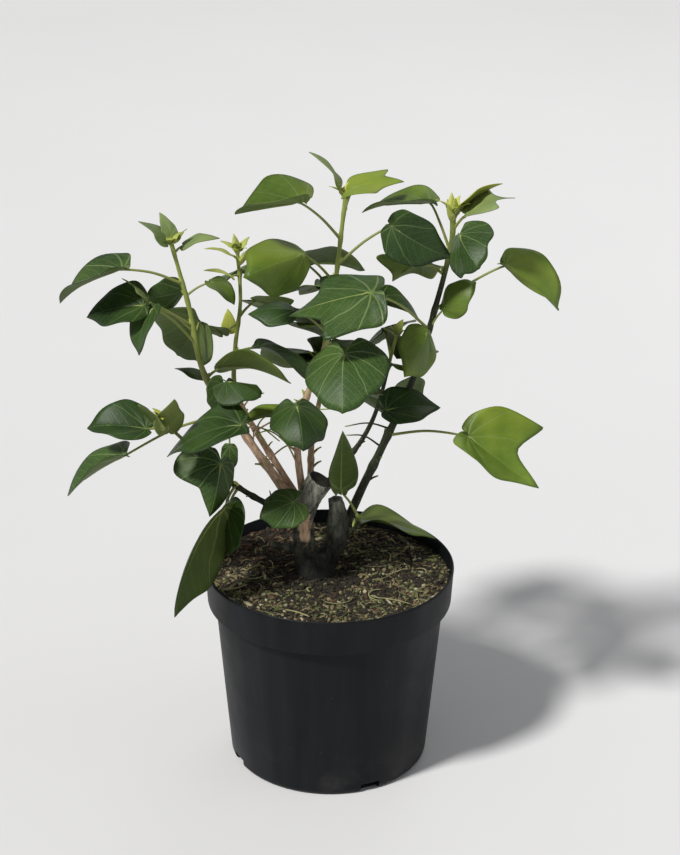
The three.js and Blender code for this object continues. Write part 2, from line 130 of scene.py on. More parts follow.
# A leaf has its share of the shoot, the turn and rise of its stalk, the lengths of stalk and blade,
# the blade's heading, dip and roll, its form and its green. A bud is (share, turn, rise, length)
Leaf = namedtuple("Leaf", "share turn rise stalk blade heading dip roll form green")

# Each shoot has its way, its radii at foot and tip, the share that is a bare bough, its bark and
# its leaves. Some have buds, and rear leaves: how many, and about which turn
SHOOTS = {
    "left": {
        "way": [(-22, 2, 196), (-60, 4, 254), (-90, 2, 304), (-100, 0, 356), (-112, 0, 406)],
        "radii": (3.8, 1.3),
        "bare": 0.38,
        "bark": "tan",
        "leaves": [
            (0.4, 0, -80, 24, 22, 0, 75, 0, "narrow", "mid"),
            (0.4, 300, -10, 86, 54, 260, 30, 0, "gutter", "mid"),
            (0.42, 15, 10, 52, 54, 270, 5, -14, "ovate", "deep"),
            (0.44, 15, 50, 34, 26, 60, -10, 5, "hood", "deep"),
            (0.46, 20, 50, 20, 20, 340, 60, -60, "heart", "mid"),
            (0.52, 205, 0, 12, 24, 240, -20, 0, "narrow", "olive"),
            (0.54, 100, 35, 14, 48, 100, -5, -40, "ovate", "olive"),
            (0.66, 310, 45, 50, 32, 315, 35, 15, "ovate", "deep"),
            (0.68, 170, 25, 16, 40, 195, 40, 50, "hood", "mid"),
            (0.7, 300, 40, 46, 22, 250, -60, 20, "young", "pale"),
            (0.72, 300, 30, 44, 40, 270, 0, -35, "ovate", "deep"),
            (0.8, 200, 10, 16, 28, 325, 0, -90, "shell", "mid"),
            (0.82, 95, 30, 20, 22, 60, 10, 0, "ovate", "olive"),
            (0.86, 290, 20, 46, 54, 260, 20, 0, "gutter", "mid"),
            (0.96, 110, 35, 10, 25, 70, -35, 15, "young", "pale"),
            (0.98, 200, 60, 8, 18, 215, -65, 5, "young", "pale"),
            (0.98, 295, 45, 6, 22, 270, -60, -15, "young", "pale"),
        ],
    },
    "low_left": {
        "way": [(-22, -2, 190), (-66, -12, 222), (-90, -20, 248), (-120, -30, 284)],
        "radii": (2.8, 1.1),
        "bare": 0.36,
        "bark": "dark",
        "leaves": [
            (0.4, 320, -45, 18, 38, 290, 75, 0, "heart", "deep"),
            (0.42, 340, -20, 24, 78, 295, 40, 50, "shell", "deep"),
            (0.52, 0, 50, 18, 38, 350, 55, -30, "winged", "mid"),
            (0.9, 285, 10, 20, 42, 270, -10, -22, "gutter", "deep"),
            (0.96, 25, -30, 6, 30, 25, -85, 0, "young", "pale"),
            (0.98, 325, -20, 6, 26, 315, -70, 0, "young", "pale"),
        ],
    },
    "mid_left": {
        "way": [(-24, 8, 205), (-66, 22, 275), (-70, 34, 308), (-66, 42, 346), (-68, 48, 384)],
        "radii": (2.8, 1.2),
        "bare": 0.5,
        "bark": "tan",
        "leaves": [
            (0.72, 285, -30, 14, 22, 300, -50, 35, "young", "pale"),
            (0.72, 225, -40, 14, 16, 160, -75, 40, "young", "young"),
            (0.9, 310, 10, 8, 20, 290, -40, 0, "young", "young"),
            (0.96, 295, 40, 8, 20, 300, -40, 0, "young", "young"),
        ],
        "buds": [(0.98, 270, 80, 16), (0.94, 60, 60, 14)],
        "rear": (3, 140),
    },
    "centre": {
        "way": [(-20, 6, 205), (-24, 8, 251), (-18, 8, 283), (-2, 5, 337), (10, 4, 440)],
        "radii": (2.9, 1.4),
        "bare": 0.27,
        "bark": "tan",
        "leaves": [
            (0.3, 355, 25, 44, 32, 10, 15, 0, "hood", "deep"),
            (0.34, 275, -35, 20, 30, 295, -15, 0, "ovate", "bright"),
            (0.44, 20, 30, 64, 46, 355, 20, 10, "heart", "mid"),
            (0.54, 105, 35, 50, 36, 100, 15, 5, "ovate", "mid"),
            (0.56, 295, 40, 34, 30, 275, -15, -15, "shell", "deep"),
            (0.68, 215, 25, 36, 42, 100, 0, 0, "gutter", "olive"),
            (0.72, 305, 45, 38, 46, 320, -5, -50, "cowl", "olive"),
            (0.78, 70, 40, 52, 42, 55, 25, 80, "ovate", "deep"),
            (0.86, 290, 45, 42, 50, 265, 10, 5, "wavy", "olive"),
            (0.94, 65, 70, 20, 36, 75, -20, 10, "lobed", "bright"),
            (0.98, 270, 70, 12, 28, 255, -70, 10, "young", "pale"),
        ],
        "buds": [(0.98, 90, 60, 10)],
    },
    "right": {
        "way": [(10, 12, 178), (24, 18, 209), (58, 20, 290), (75, 10, 358), (84, 5, 405), (84, 5, 430)],
        "radii": (3.5, 1.7),
        "bare": 0.27,
        "bark": "dark",
        "leaves": [
            (0.3, 65, 10, 64, 62, 75, 35, 25, "forked", "bright"),
            (0.38, 330, 20, 22, 38, 95, -15, 30, "ovate", "deep"),
            (0.54, 15, 60, 32, 38, 350, 20, -50, "shell", "olive"),
            (0.64, 318, 35, 78, 60, 270, 10, -20, "vaulted", "mid"),
            (0.64, 45, 55, 24, 28, 45, -55, 80, "shell", "olive"),
            (0.7, 90, 35, 60, 52, 80, 30, 10, "blunt", "bright"),
            (0.86, 10, 40, 42, 32, 5, 10, 50, "hood", "mid"),
            (0.88, 245, 65, 36, 48, 260, 0, 5, "gutter", "olive"),
            (0.94, 60, 50, 20, 32, 95, -30, 0, "lobed", "pale"),
            (0.96, 80, 65, 10, 32, 125, -45, -50, "young", "young"),
        ],
        "buds": [(0.96, 300, 70, 16), (0.98, 200, 80, 16), (0.98, 20, 75, 14)],
        "rear": (2, 230),
    },
    "mid_right": {
        "way": [(-7, 5, 213), (15, 26, 231), (33, 34, 262), (48, 50, 318)],
        "radii": (2.4, 1.2),
        "bare": 0.45,
        "bark": "dark",
        "leaves": [],
        "rear": (3, 170),
    },
    "back": {
        "way": [(-14, 10, 200), (-14, 40, 235), (-6, 64, 275), (2, 78, 345)],
        "radii": (2.8, 1.2),
        "bare": 0.4,
        "bark": "tan",
        "leaves": [],
        "buds": [(0.98, 190, 80, 14)],
        "rear": (8, 185),
    },
    "foot_left": {
        "way": [(-22, -3, 198), (-25, -14, 210), (-25, -22, 216)],
        "radii": (1.6, 1.2),
        "bare": 0,
        "bark": "tan",
        "leaves": [(0.94, 340, 20, 4, 26, 300, 5, -30, "heart", "mid")],
    },
    "foot_right": {
        "way": [(8, 4, 172), (18, 4, 182), (22, 2, 194)],
        "radii": (1.8, 1.2),
        "bare": 0,
        "bark": "dark",
        "leaves": [
            (0.5, 170, -15, 36, 54, 85, -6, -10, "ovate", "olive"),
            (0.9, 290, 60, 28, 54, 345, -85, 30, "sheath", "mid"),
        ],
    },
}
STEM_TAPER = 1.4
STALK_RADIUS = 1.1
STALK_END = 0.8
YOUNG_BLADE = 32
YOUNG_STALK = 0.8
STALK_BOW = 0.06
BUD_SLIMNESS = 0.17
BUD_SWELL = (0.15, 0.99)
BUD_BOW = 0.04
BUD_RIDGE = 0.12
LEAF_THICKNESS = 0.5

# Seeded rule for the rear leaves, as in the source
REAR_SPREAD = 45
GOLDEN_TURN = 137.5
REAR_DRIFT = 0.3
REAR_SHARES = (0.39, 0.95)
REAR_ABOVE_BOUGH = 0.04
REAR_STALK = (18, 36)
REAR_STALK_AT_TIP = 0.7
REAR_BLADE = (50, 36)
REAR_BLADE_SPREAD = (0.85, 1.1)
REAR_RISE = (10, 45)
REAR_DIP = (-5, 35)
REAR_SWING = 30
REAR_ROLL = 40
REAR_FORMS = ("ovate", "lobed", "heart")
REAR_GREENS = ("deep", "olive", "mid")
SEED_PER_SHOOT = 31
SEED_PER_LEAF = 7


def lerp(low, high, share):
    return low + (high - low) * share


def direction(turn, rise):
    level = math.cos(math.radians(rise))
    turn = math.radians(turn)
    return Vector((math.sin(turn) * level, -math.cos(turn) * level, math.sin(math.radians(rise))))


def wobble(number):
    wave = math.sin(number * 12.9898) * 43758.5453
    return wave - math.floor(wave)


class Way:
    """A smooth curve through points, read by share of its length, in millimetres."""

    STEPS = 24

    def __init__(self, points):
        points = [Vector(point) for point in points]
        points = [points[0] * 2 - points[1], *points, points[-1] * 2 - points[-2]]
        self.samples = [points[1]]
        for k in range(1, len(points) - 2):
            before, start, end, after = points[k - 1:k + 3]
            for step in range(1, self.STEPS + 1):
                t = step / self.STEPS
                leave = (end - before) * 0.5
                arrive = (after - start) * 0.5
                place = start * (2 * t**3 - 3 * t**2 + 1) + end * (3 * t**2 - 2 * t**3)
                place += leave * (t**3 - 2 * t**2 + t) + arrive * (t**3 - t**2)
                self.samples.append(place)
        self.marks = [0.0]
        for a, b in zip(self.samples, self.samples[1:]):
            self.marks.append(self.marks[-1] + (b - a).length)
        self.length = self.marks[-1]

    def at(self, share):
        reach = min(max(share, 0), 1) * self.length
        low, high = 0, len(self.marks) - 1
        while high - low > 1:
            middle = (low + high) // 2
            if self.marks[middle] <= reach:
                low = middle
            else:
                high = middle
        part = (reach - self.marks[low]) / (self.marks[high] - self.marks[low])
        return self.samples[low].lerp(self.samples[high], part)

    def heading(self, share):
        return (self.at(share + 0.01) - self.at(share - 0.01)).normalized()


def new_layers(bm):
    """The layers that the materials read: a flat uv, a shade for each shape and an edge value."""
    values = bm.verts.layers.float
    return bm.loops.layers.uv.new("flat"), values.new("shade"), values.new("edge")


class Pile:
    """Many small shapes: each is made in a bmesh of its own and then joined to one mesh."""

    def __init__(self):
        self.whole = bmesh.new()
        new_layers(self.whole)

    def take(self, small):
        mesh = bpy.data.meshes.new("small")
        small.to_mesh(mesh)
        small.free()
        self.whole.from_mesh(mesh)
        bpy.data.meshes.remove(mesh)

    def add(self, make, *details):
        small = bmesh.new()
        make(small, new_layers(small), *details)
        self.take(small)


def wrapped(bm, layers, round_steps, rings, place, shade=0.5):
    """A grid rolled up by place(turn share, along share) -> (point in mm, uv, edge)."""
    flat, shade_layer, edge_layer = layers
    made = bmesh.ops.create_grid(bm, x_segments=round_steps, y_segments=rings, size=1)["verts"]
    spots = {}
    for vert in made:
        point, uv, edge = place((vert.co.x + 1) / 2, (vert.co.y + 1) / 2)
        spots[vert] = (point, uv)
        vert[shade_layer] = shade
        vert[edge_layer] = edge
    for face in {face for vert in made for face in vert.link_faces}:
        for loop in face.loops:
            loop[flat].uv = spots[loop.vert][1]
    for vert in made:
        vert.co = spots[vert][0] * MM
    bmesh.ops.remove_doubles(bm, verts=made, dist=1e-6)
    return [vert for vert in made if vert.is_valid]


STEEP = 0.8


def tube(bm, layers, way, radius_at, round_steps, rings, shade=0.5):
    """A closed round limb along a way: its uv holds its length, its edge value its share of the way."""
    chord = (way.at(1) - way.at(0)).normalized()
    reference = Vector((0, 1, 0)) if abs(chord.z) > STEEP else Vector((0, 0, 1))

    def place(turn, share):
        middle = way.at(share)
        heading = way.heading(share)
        across = reference.cross(heading).normalized()
        upward = heading.cross(across)
        angle = turn * math.tau
        outward = across * math.cos(angle) + upward * math.sin(angle)
        return middle + outward * radius_at(share, turn), (turn, share * way.length / 10), share

    verts = wrapped(bm, layers, round_steps, rings, place, shade)
    rims = {edge for vert in verts for edge in vert.link_edges if edge.is_boundary}
    bmesh.ops.holes_fill(bm, edges=list(rims), sides=0)
    return verts


def object_from(name, bm):
    mesh = bpy.data.meshes.new(name)
    bm.to_mesh(mesh)
    bm.free()
    made = bpy.data.objects.new(name, mesh)
    bpy.context.scene.collection.objects.link(made)
    return made


def finished_bmesh(holder):
    """The bmesh of an object with its modifiers applied. The object goes."""
    graph = bpy.context.evaluated_depsgraph_get()
    mesh = bpy.data.meshes.new_from_object(holder.evaluated_get(graph))
    bpy.data.objects.remove(holder)
    bm = bmesh.new()
    bm.from_mesh(mesh)
    return bm


def piece_from(name, bm, materials, nodes=(), sharp_angle=None, closed=True):
    """Turns a finished bmesh into a piece that rides on the root and replaces CAD nodes."""
    if closed:
        bmesh.ops.recalc_face_normals(bm, faces=bm.faces)
    piece = object_from(name, bm)
    piece.data.shade_smooth()
    if sharp_angle:
        piece.data.set_sharp_from_angle(angle=math.radians(sharp_angle))
    for material in materials:
        piece.data.materials.append(material)
    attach(piece, "root")
    if nodes:
        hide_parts(*nodes)
    return piece


# Materials
class Finish:
    """A material with its nodes: put() adds a node, and a socket given as a value is linked."""

    def __init__(self, name, **settings):
        self.material = bpy.data.materials.new(name)
        self.material.use_nodes = True
        self.tree = self.material.node_tree
        self.shader = self.tree.nodes["Principled BSDF"]
        for key, value in settings.items():
            self.fill(self.shader, {key.replace("_", " ").title().replace("Ior", "IOR"): value})

    def fill(self, node, values):
        for key, value in values.items():
            socket = node.inputs[key]
            if isinstance(value, bpy.types.NodeSocket):
                self.tree.links.new(value, socket)
            else:
                socket.default_value = value

    def put(self, kind, values=None, out=0, **options):
        node = self.tree.nodes.new("ShaderNode" + kind)
        for key, value in options.items():
            setattr(node, key, value)
        self.fill(node, values or {})
        return node.outputs[out]

    def math(self, operation, a, b=0.0, c=0.0):
        return self.put("Math", {0: a, 1: b, 2: c}, operation=operation)

    def spread(self, value, low, high, to_low=0.0, to_high=1.0):
        return self.put("MapRange", {"Value": value, "From Min": low, "From Max": high,
                                     "To Min": to_low, "To Max": to_high})

    def blend(self, share, a, b, mode="MIX"):
        return self.put("Mix", {0: share, 6: a, 7: b}, out=2, data_type="RGBA", blend_type=mode)

    def noise(self, where, scale, detail=3.0, rough=0.5):
        return self.put("TexNoise", {"Vector": where, "Scale": scale, "Detail": detail, "Roughness": rough})

    def place(self, scale=(1, 1, 1)):
        where = self.put("TexCoord", out=3)
        return self.put("Mapping", {"Vector": where, "Scale": scale})

    def attribute(self, name):
        return self.put("Attribute", out=2, attribute_name=name)

    def bump(self, height, strength, distance):
        relief = self.put("Bump", {"Height": height, "Strength": strength, "Distance": distance})
        self.fill(self.shader, {"Normal": relief})

    def colour(self, value):
        self.fill(self.shader, {"Base Color": value})


def rgb(red, green, blue):
    """A colour as seen on a screen, 0 to 255, made linear."""
    return (*[((c / 255 + 0.055) / 1.055) ** 2.4 if c > 10 else c / 255 / 12.92
              for c in (red, green, blue)], 1)


# Main veins stand at this angle to each other. Widths are shares of the blade's length, and the
# main veins' are given at the stalk's end and at the tip
VEIN_SPACING = 0.72
VEIN_WIDTH = (0.021, 0.009)
SIDE_VEIN_GAP = 0.07
SIDE_VEIN_WIDTH = 0.011

# What turns a green yellower in patches
WARMTH = (1.45, 1.2, 0.75, 1)


def warmer(tone):
    return tuple(a * b for a, b in zip(tone, WARMTH))


def leaf_finish(name, dark, light, vein, roughness, vein_share):
    """Leaf skin: veins that curve from the stalk and off the midrib, a fine net and a margin painted darker
    as shade.
    """
    skin = Finish(name, specular_ior_level=0.25)
    where = skin.place()
    forward = skin.put("SeparateXYZ", {0: skin.put("UVMap", uv_map="flat")}, out=0)
    sideways = skin.put("SeparateXYZ", {0: skin.put("UVMap", uv_map="flat")}, out=1)
    side = skin.math("ABSOLUTE", sideways)
    drift = skin.math("MULTIPLY_ADD", skin.noise(where, 60, 2), 0.09, -0.045)
    bent_side = skin.math("ADD", side, skin.math("MULTIPLY", drift, skin.spread(side, 0, 0.12)))
    radius = skin.math("SQRT", skin.math("ADD", skin.math("POWER", side, 2), skin.math("POWER", forward, 2)))
    angle = skin.math("MULTIPLY", skin.math("ARCTAN2", bent_side, forward),
                      skin.math("MULTIPLY_ADD", radius, 0.5, 1))
    off_vein = skin.math("MULTIPLY", skin.math("PINGPONG", angle, VEIN_SPACING / 2), radius)
    width = skin.spread(radius, 0, 1, *VEIN_WIDTH)
    main = skin.spread(skin.math("DIVIDE", off_vein, width), 0.1, 1, 1, 0)
    curve = skin.math("MULTIPLY_ADD", skin.math("POWER", bent_side, 2), -0.9,
                      skin.math("MULTIPLY_ADD", bent_side, -0.7, forward))
    second = skin.spread(skin.math("PINGPONG", curve, SIDE_VEIN_GAP), 0.0, SIDE_VEIN_WIDTH, 0.42, 0)
    net = skin.put("TexVoronoi", {"Vector": where, "Scale": 420.0}, feature="DISTANCE_TO_EDGE")
    third = skin.spread(net, 0.01, 0.1, 0.2, 0)
    veins = skin.math("MAXIMUM", skin.math("MAXIMUM", main, second), third)
    cloud = skin.noise(where, 38, 4, 0.6)
    tone = skin.math("ADD", skin.math("MULTIPLY", skin.attribute("shade"), 0.6),
                     skin.spread(cloud, 0.35, 0.65, -0.1, 0.5))
    warm = skin.spread(skin.noise(where, 19, 2), 0.46, 0.66, 0, 0.4)
    body = skin.blend(warm, skin.blend(tone, dark, light), warmer(light))
    drawn = skin.blend(skin.math("MULTIPLY", veins, vein_share), body, vein)
    # Painted shade: the outermost rim of each blade is darkened towards the dark tone
    margin = skin.spread(skin.attribute("edge"), 0.94, 1, 0, 0.35)
    skin.colour(skin.blend(margin, drawn, dark))
    skin.fill(skin.shader, {"Roughness": skin.spread(cloud, 0.35, 0.65, roughness - 0.06, roughness + 0.08)})
    grain = skin.noise(where, 900, 2)
    height = skin.math("ADD", skin.math("MULTIPLY", veins, -0.7), skin.math("MULTIPLY", grain, 0.25))
    skin.bump(height, 0.3, 0.0006)
    return skin.material


def stem_finish(name, low, high, tip, greening=(0.3, 0.62)):
    """Young bark that turns green towards the tip, with long streaks and small pale marks."""
    bark = Finish(name, roughness=0.6, specular_ior_level=0.3)
    along = bark.put("Mapping", {"Vector": bark.put("UVMap", uv_map="flat"), "Scale": (9, 1.2, 1)})
    where = bark.place((1, 1, 0.4))
    streak = bark.noise(along, 1.6, 5, 0.65)
    height_share = bark.attribute("edge")
    woody = bark.blend(bark.spread(streak, 0.35, 0.65), low, high)
    green = bark.blend(bark.spread(height_share, *greening), woody, tip)
    marks = bark.put("TexVoronoi", {"Vector": where, "Scale": 520.0})
    spotted = bark.blend(bark.spread(marks, 0.05, 0.16, 0.45, 0), green, rgb(190, 180, 140))
    bark.colour(spotted)
    bark.bump(bark.math("ADD", streak, bark.math("MULTIPLY", marks, -0.4)), 0.5, 0.0006)
    return bark.material


def crumb_finish(name, dark, light, roughness=0.95, scale=160):
    """Dry plant matter: mottled between two colours, with a rough grain."""
    crumb = Finish(name, roughness=roughness)
    where = crumb.place()
    patches = crumb.noise(where, scale, 4, 0.7)
    grain = crumb.noise(where, 1400, 3)
    tone = crumb.math("ADD", crumb.math("MULTIPLY", crumb.attribute("shade"), 0.6),
                      crumb.spread(patches, 0.35, 0.65, -0.1, 0.5))
    crumb.colour(crumb.blend(tone, dark, light))
    crumb.bump(crumb.math("ADD", patches, grain), 0.6, 0.0008)
    return crumb.material


# Places on the stock, in metres. The strip of painted sunlight on the bark is 1 / its stretch times as tall
# as it is wide
STUB_HEIGHTS = (0.196, 0.208)
DARK_SIDE = (-0.008, 0.006)
SUNLIT_STRETCH = 0.4
PAINTED_SUNLIT_PATCH = (-0.018, -0.005, 0.186 * SUNLIT_STRETCH)
SUNLIT_PATCH_RADIUS = (0.0085, 0.0105)
# Below these heights the stock is painted black: painted shadow down to the soil
PAINTED_SHADOW_BASE = (0.17, 0.188)


def bark_finish():
    """Old stock: grey furrowed bark with moss, a paler stub, a tan patch of painted sunlight and a base
    painted black as shadow.
    """
    bark = Finish("old_bark", roughness=0.92)
    where = bark.place((1, 1, 0.35))
    even = bark.place()
    furrows = bark.noise(where, 260, 6, 0.7)
    patches = bark.noise(even, 55, 3)
    moss = bark.noise(even, 90, 5, 0.7)
    height = bark.put("SeparateXYZ", {0: even}, out=2)
    right = bark.put("SeparateXYZ", {0: even}, out=0)
    grey = bark.blend(bark.spread(furrows, 0.38, 0.62), rgb(30, 28, 24), rgb(104, 108, 94))
    worn = bark.blend(bark.spread(patches, 0.58, 0.66, 0, 0.7), grey, rgb(140, 116, 86))
    mossy = bark.blend(bark.spread(moss, 0.5, 0.62, 0, 0.75), worn, rgb(38, 44, 24))
    shaded = bark.blend(bark.spread(right, *DARK_SIDE, 0, 0.6), mossy, rgb(24, 25, 19))
    weathered = bark.math("MULTIPLY", bark.spread(height, *STUB_HEIGHTS),
                          bark.spread(furrows, 0.4, 0.58, 0.15, 0.9))
    stub = bark.blend(weathered, shaded, rgb(154, 153, 141))
    # Painted sunlight: a bright tan patch where the bark at the stock's front left is lit
    upright = bark.place((1, 1, SUNLIT_STRETCH))
    from_sunlit_patch = bark.put("VectorMath", {0: upright, 1: PAINTED_SUNLIT_PATCH}, out=1, operation="DISTANCE")
    ragged_from_sunlit_patch = bark.math("MULTIPLY_ADD", bark.noise(even, 200, 3), 0.008, from_sunlit_patch)
    sunlit_bark = bark.blend(bark.spread(furrows, 0.36, 0.6), rgb(150, 112, 84), rgb(240, 208, 172))
    bare = bark.blend(bark.spread(ragged_from_sunlit_patch, *SUNLIT_PATCH_RADIUS, 0.95, 0), stub, sunlit_bark)
    # Painted shadow: the stock turns black towards its foot, with a ragged edge
    painted_shadow_edge = bark.math("MULTIPLY_ADD", bark.noise(even, 120, 3), 0.03, height)
    bark.colour(bark.blend(bark.spread(painted_shadow_edge, *PAINTED_SHADOW_BASE, 0.9, 0), bare, rgb(13, 12, 11)))
    bark.bump(furrows, 0.8, 0.0012)
    return bark.material


def pot_finish():
    """Thin moulded charcoal plastic with faint drawn streaks, dust low down and small scuffs."""
    plastic = Finish("pot_plastic", specular_ior_level=0.12)
    where = plastic.place()
    tall = plastic.place((1, 1, 0.05))
    streaks = plastic.noise(tall, 55, 4, 0.6)
    dust = plastic.noise(where, 22, 6, 0.65)
    scuffs = plastic.put("TexVoronoi", {"Vector": where, "Scale": 85.0})
    height = plastic.put("SeparateXYZ", {0: where}, out=2)
    base = plastic.blend(plastic.spread(streaks, 0.35, 0.65), rgb(18, 20, 23), rgb(27, 29, 32))
    low_dust = plastic.math("MULTIPLY", plastic.spread(height, 0.0, 0.04, 0.4, 0.03),
                            plastic.spread(dust, 0.48, 0.72))
    dusty = plastic.blend(low_dust, base, rgb(84, 82, 77))
    scuffed = plastic.blend(plastic.spread(scuffs, 0.02, 0.06, 0.35, 0), dusty, rgb(84, 84, 82))
    plastic.colour(scuffed)
    plastic.fill(plastic.shader, {"Roughness": plastic.spread(dust, 0.3, 0.7, 0.36, 0.56)})
    grain = plastic.noise(where, 1600, 2)
    fine = plastic.math("MULTIPLY", grain, 0.15)
    plastic.bump(plastic.math("MULTIPLY_ADD", streaks, 0.6, fine), 0.15, 0.0008)
    return plastic.material


# Each green has its dark and light tone, and how strongly its veins show
GREENS = {
    "deep": (rgb(22, 42, 16), rgb(46, 72, 28), 0.32),
    "mid": (rgb(32, 56, 22), rgb(58, 84, 36), 0.62),
    # The olive and bright greens are partly the leaves' own yellow-green and partly painted glow of sunlight
    # shining through the leaves
    "olive": (rgb(60, 82, 20), rgb(100, 122, 46), 0.25),
    "bright": (rgb(74, 100, 26), rgb(116, 138, 52), 0.22),
    "pale": (rgb(86, 106, 56), rgb(132, 150, 94), 0.25),
    "young": (rgb(134, 148, 56), rgb(188, 196, 98), 0.2),
}
VEIN_GREEN = rgb(128, 146, 92)
UNDER_GREEN = rgb(104, 122, 64)
UNDER_SHARE = 0.4


def under_tone(tone):
    return tuple(lerp(a, b, UNDER_SHARE) for a, b in zip(tone, UNDER_GREEN))


LEAF_SKINS = {
    green: (
        leaf_finish(f"leaf_{green}", dark, light, VEIN_GREEN, 0.42, veins),
        leaf_finish(f"leaf_{green}_under", under_tone(dark), under_tone(light), VEIN_GREEN, 0.6, 0.5),
    )
    for green, (dark, light, veins) in GREENS.items()
}
STALK_SKIN = stem_finish("stalk_skin", rgb(118, 128, 66), rgb(150, 158, 88), rgb(134, 148, 80))
BUD_SKIN = crumb_finish("bud_skin", rgb(150, 160, 70), rgb(196, 200, 108), 0.5, 300)
STEM_SKINS = {
    "tan": stem_finish("stem_tan", rgb(150, 118, 96), rgb(212, 182, 154), rgb(138, 150, 74)),
    "dark": stem_finish("stem_dark", rgb(24, 29, 18), rgb(48, 56, 32), rgb(128, 142, 66), (0.78, 0.97)),
}
OLD_BARK = bark_finish()
CUT_WOOD = crumb_finish("cut_wood", rgb(16, 14, 12), rgb(54, 48, 40), 0.9, 500)
PEAT = crumb_finish("peat", rgb(12, 10, 8), rgb(50, 42, 30), 0.97, 240)
CRUMBS = {
    "peat": crumb_finish("crumb_peat", rgb(16, 14, 10), rgb(58, 50, 36)),
    "tan": crumb_finish("crumb_tan", rgb(76, 68, 46), rgb(146, 132, 96)),
    "cream": crumb_finish("crumb_cream", rgb(124, 120, 94), rgb(190, 184, 150)),
    "moss": crumb_finish("crumb_moss", rgb(52, 56, 30), rgb(116, 120, 74)),
    "rust": crumb_finish("crumb_rust", rgb(52, 36, 27), rgb(106, 78, 58)),
}
STRAW = crumb_finish("straw", rgb(96, 92, 58), rgb(172, 166, 120), 0.8, 400)


# Leaves
def outline_point(form, station, near):
    """A point of the half outline by station, 0 at the tip and 6 at the back, as (forward, sideways)."""
    radii, _, _, lobe, blunt = FORMS[form]
    if near and form in NEAR_HALVES:
        radii, lobe = NEAR_HALVES[form], 0

    def corner(k):
        mirrored = -1 if k > 6 else 1
        k = 12 - k if k > 6 else k
        angle = math.radians(OUTLINE_ANGLES[k])
        return Vector((radii[k] * math.cos(angle), radii[k] * math.sin(angle) * mirrored))

    def heading(k):
        if k == 0:
            return (corner(1) - corner(0)).lerp(Vector((0, 0.5)), blunt)
        ease = 0.5 * (1 - lobe if k == 2 else 1)
        return (corner(k + 1) - corner(k - 1)) * ease

    k = min(int(station), 5)
    t = station - k
    start, end = corner(k), corner(k + 1)
    place = start * (2 * t**3 - 3 * t**2 + 1) + end * (3 * t**2 - 2 * t**3)
    return place + heading(k) * (t**3 - 2 * t**2 + t) + heading(k + 1) * (t**3 - t**2)


LEAF_STATIONS = 66
LEAF_RINGS = 10
WAVE_PACE = (1.5, 2.6)
WAVE_HEIGHT = (0.018, 0.055)
MARGIN_RIPPLE = 0.022
RIPPLE_PACE = 4.3
LEAF_TWIST = 0.18
TIP_CURL = (-0.2, 0.35)
CURL_START = 0.55
HALF_DIFFERENCE = 0.06
QUILTING = 0.011
SOFT_MIDRIB = 0.03
STALK_BELOW = 0.4
RIB_SHARES = (0.14, 0.4, 0.66)
RIB_BELOW = 0.3
RIB_END = 0.25
STALK_FOOT_SWELL = 0.35
STALK_FOOT_REACH = 2.5


def leaf_frame(way, leaf):
    """The stalk's foot and end, and the blade's directions to its tip, its upper side and across."""
    foot = way.at(leaf.share)
    base = foot + direction(leaf.turn, leaf.rise) * leaf.stalk
    along = direction(leaf.heading, -leaf.dip)
    upward = (Vector((0, 0, 1)) - along * along.z).normalized()
    upward = Matrix.Rotation(math.radians(leaf.roll), 3, along) @ upward
    return foot, base, along, upward, along.cross(upward)


def drop_at(leaf, forward, sideways):
    """How far the blade lies below its flat plane: fold along a soft midrib, and arch."""
    _, fold, arch, _, _ = FORMS[leaf.form]
    soft = SOFT_MIDRIB * leaf.blade
    side = math.sqrt(sideways**2 + soft**2) - soft
    return fold * side + arch * forward * abs(forward) / leaf.blade


def blade(bm, layers, way, leaf, seed):
    """A blade with a rippled margin, raised between its veins, a little twisted and curled."""
    _, base, along, upward, across = leaf_frame(way, leaf)
    wave_phase = wobble(seed + 0.3) * math.tau
    wave_pace = lerp(*WAVE_PACE, wobble(seed))
    wave = lerp(*WAVE_HEIGHT, wobble(seed + 0.6))
    twist = LEAF_TWIST * (2 * wobble(seed + 0.9) - 1)
    curl = lerp(*TIP_CURL, wobble(seed + 0.2))
    uneven = HALF_DIFFERENCE * (2 * wobble(seed + 0.5) - 1)

    def place(turn, ring):
        station = (turn * 2 - 1) * 6
        side = math.copysign(1, station)
        outline = outline_point(leaf.form, abs(station), side > 0)
        ripple = 1 + MARGIN_RIPPLE * math.sin(RIPPLE_PACE * station + wave_phase)
        forward = outline.x * ring * ripple
        sideways = outline.y * ring * side * ripple * (1 + uneven * side)
        angle = math.atan2(abs(sideways), forward) if ring else 0
        between = abs(math.sin(angle / VEIN_SPACING * math.pi))
        relief = QUILTING * between * 4 * ring * (1 - ring)
        relief += wave * ring**3 * math.sin(wave_pace * station + wave_phase)
        relief += twist * sideways * forward - curl * max(forward - CURL_START, 0) ** 2
        drop = drop_at(leaf, forward * leaf.blade, sideways * leaf.blade)
        level = base + (along * forward + across * sideways) * leaf.blade
        return level + upward * (relief * leaf.blade - drop), (forward, sideways), ring

    verts = wrapped(bm, layers, LEAF_STATIONS, LEAF_RINGS, place, wobble(seed * 3.7 + 0.1))
    faces = list({face for vert in verts for face in vert.link_faces})
    bmesh.ops.recalc_face_normals(bm, faces=faces)
    if sum(face.normal.dot(upward) * face.calc_area() for face in faces) < 0:
        bmesh.ops.reverse_faces(bm, faces=faces)


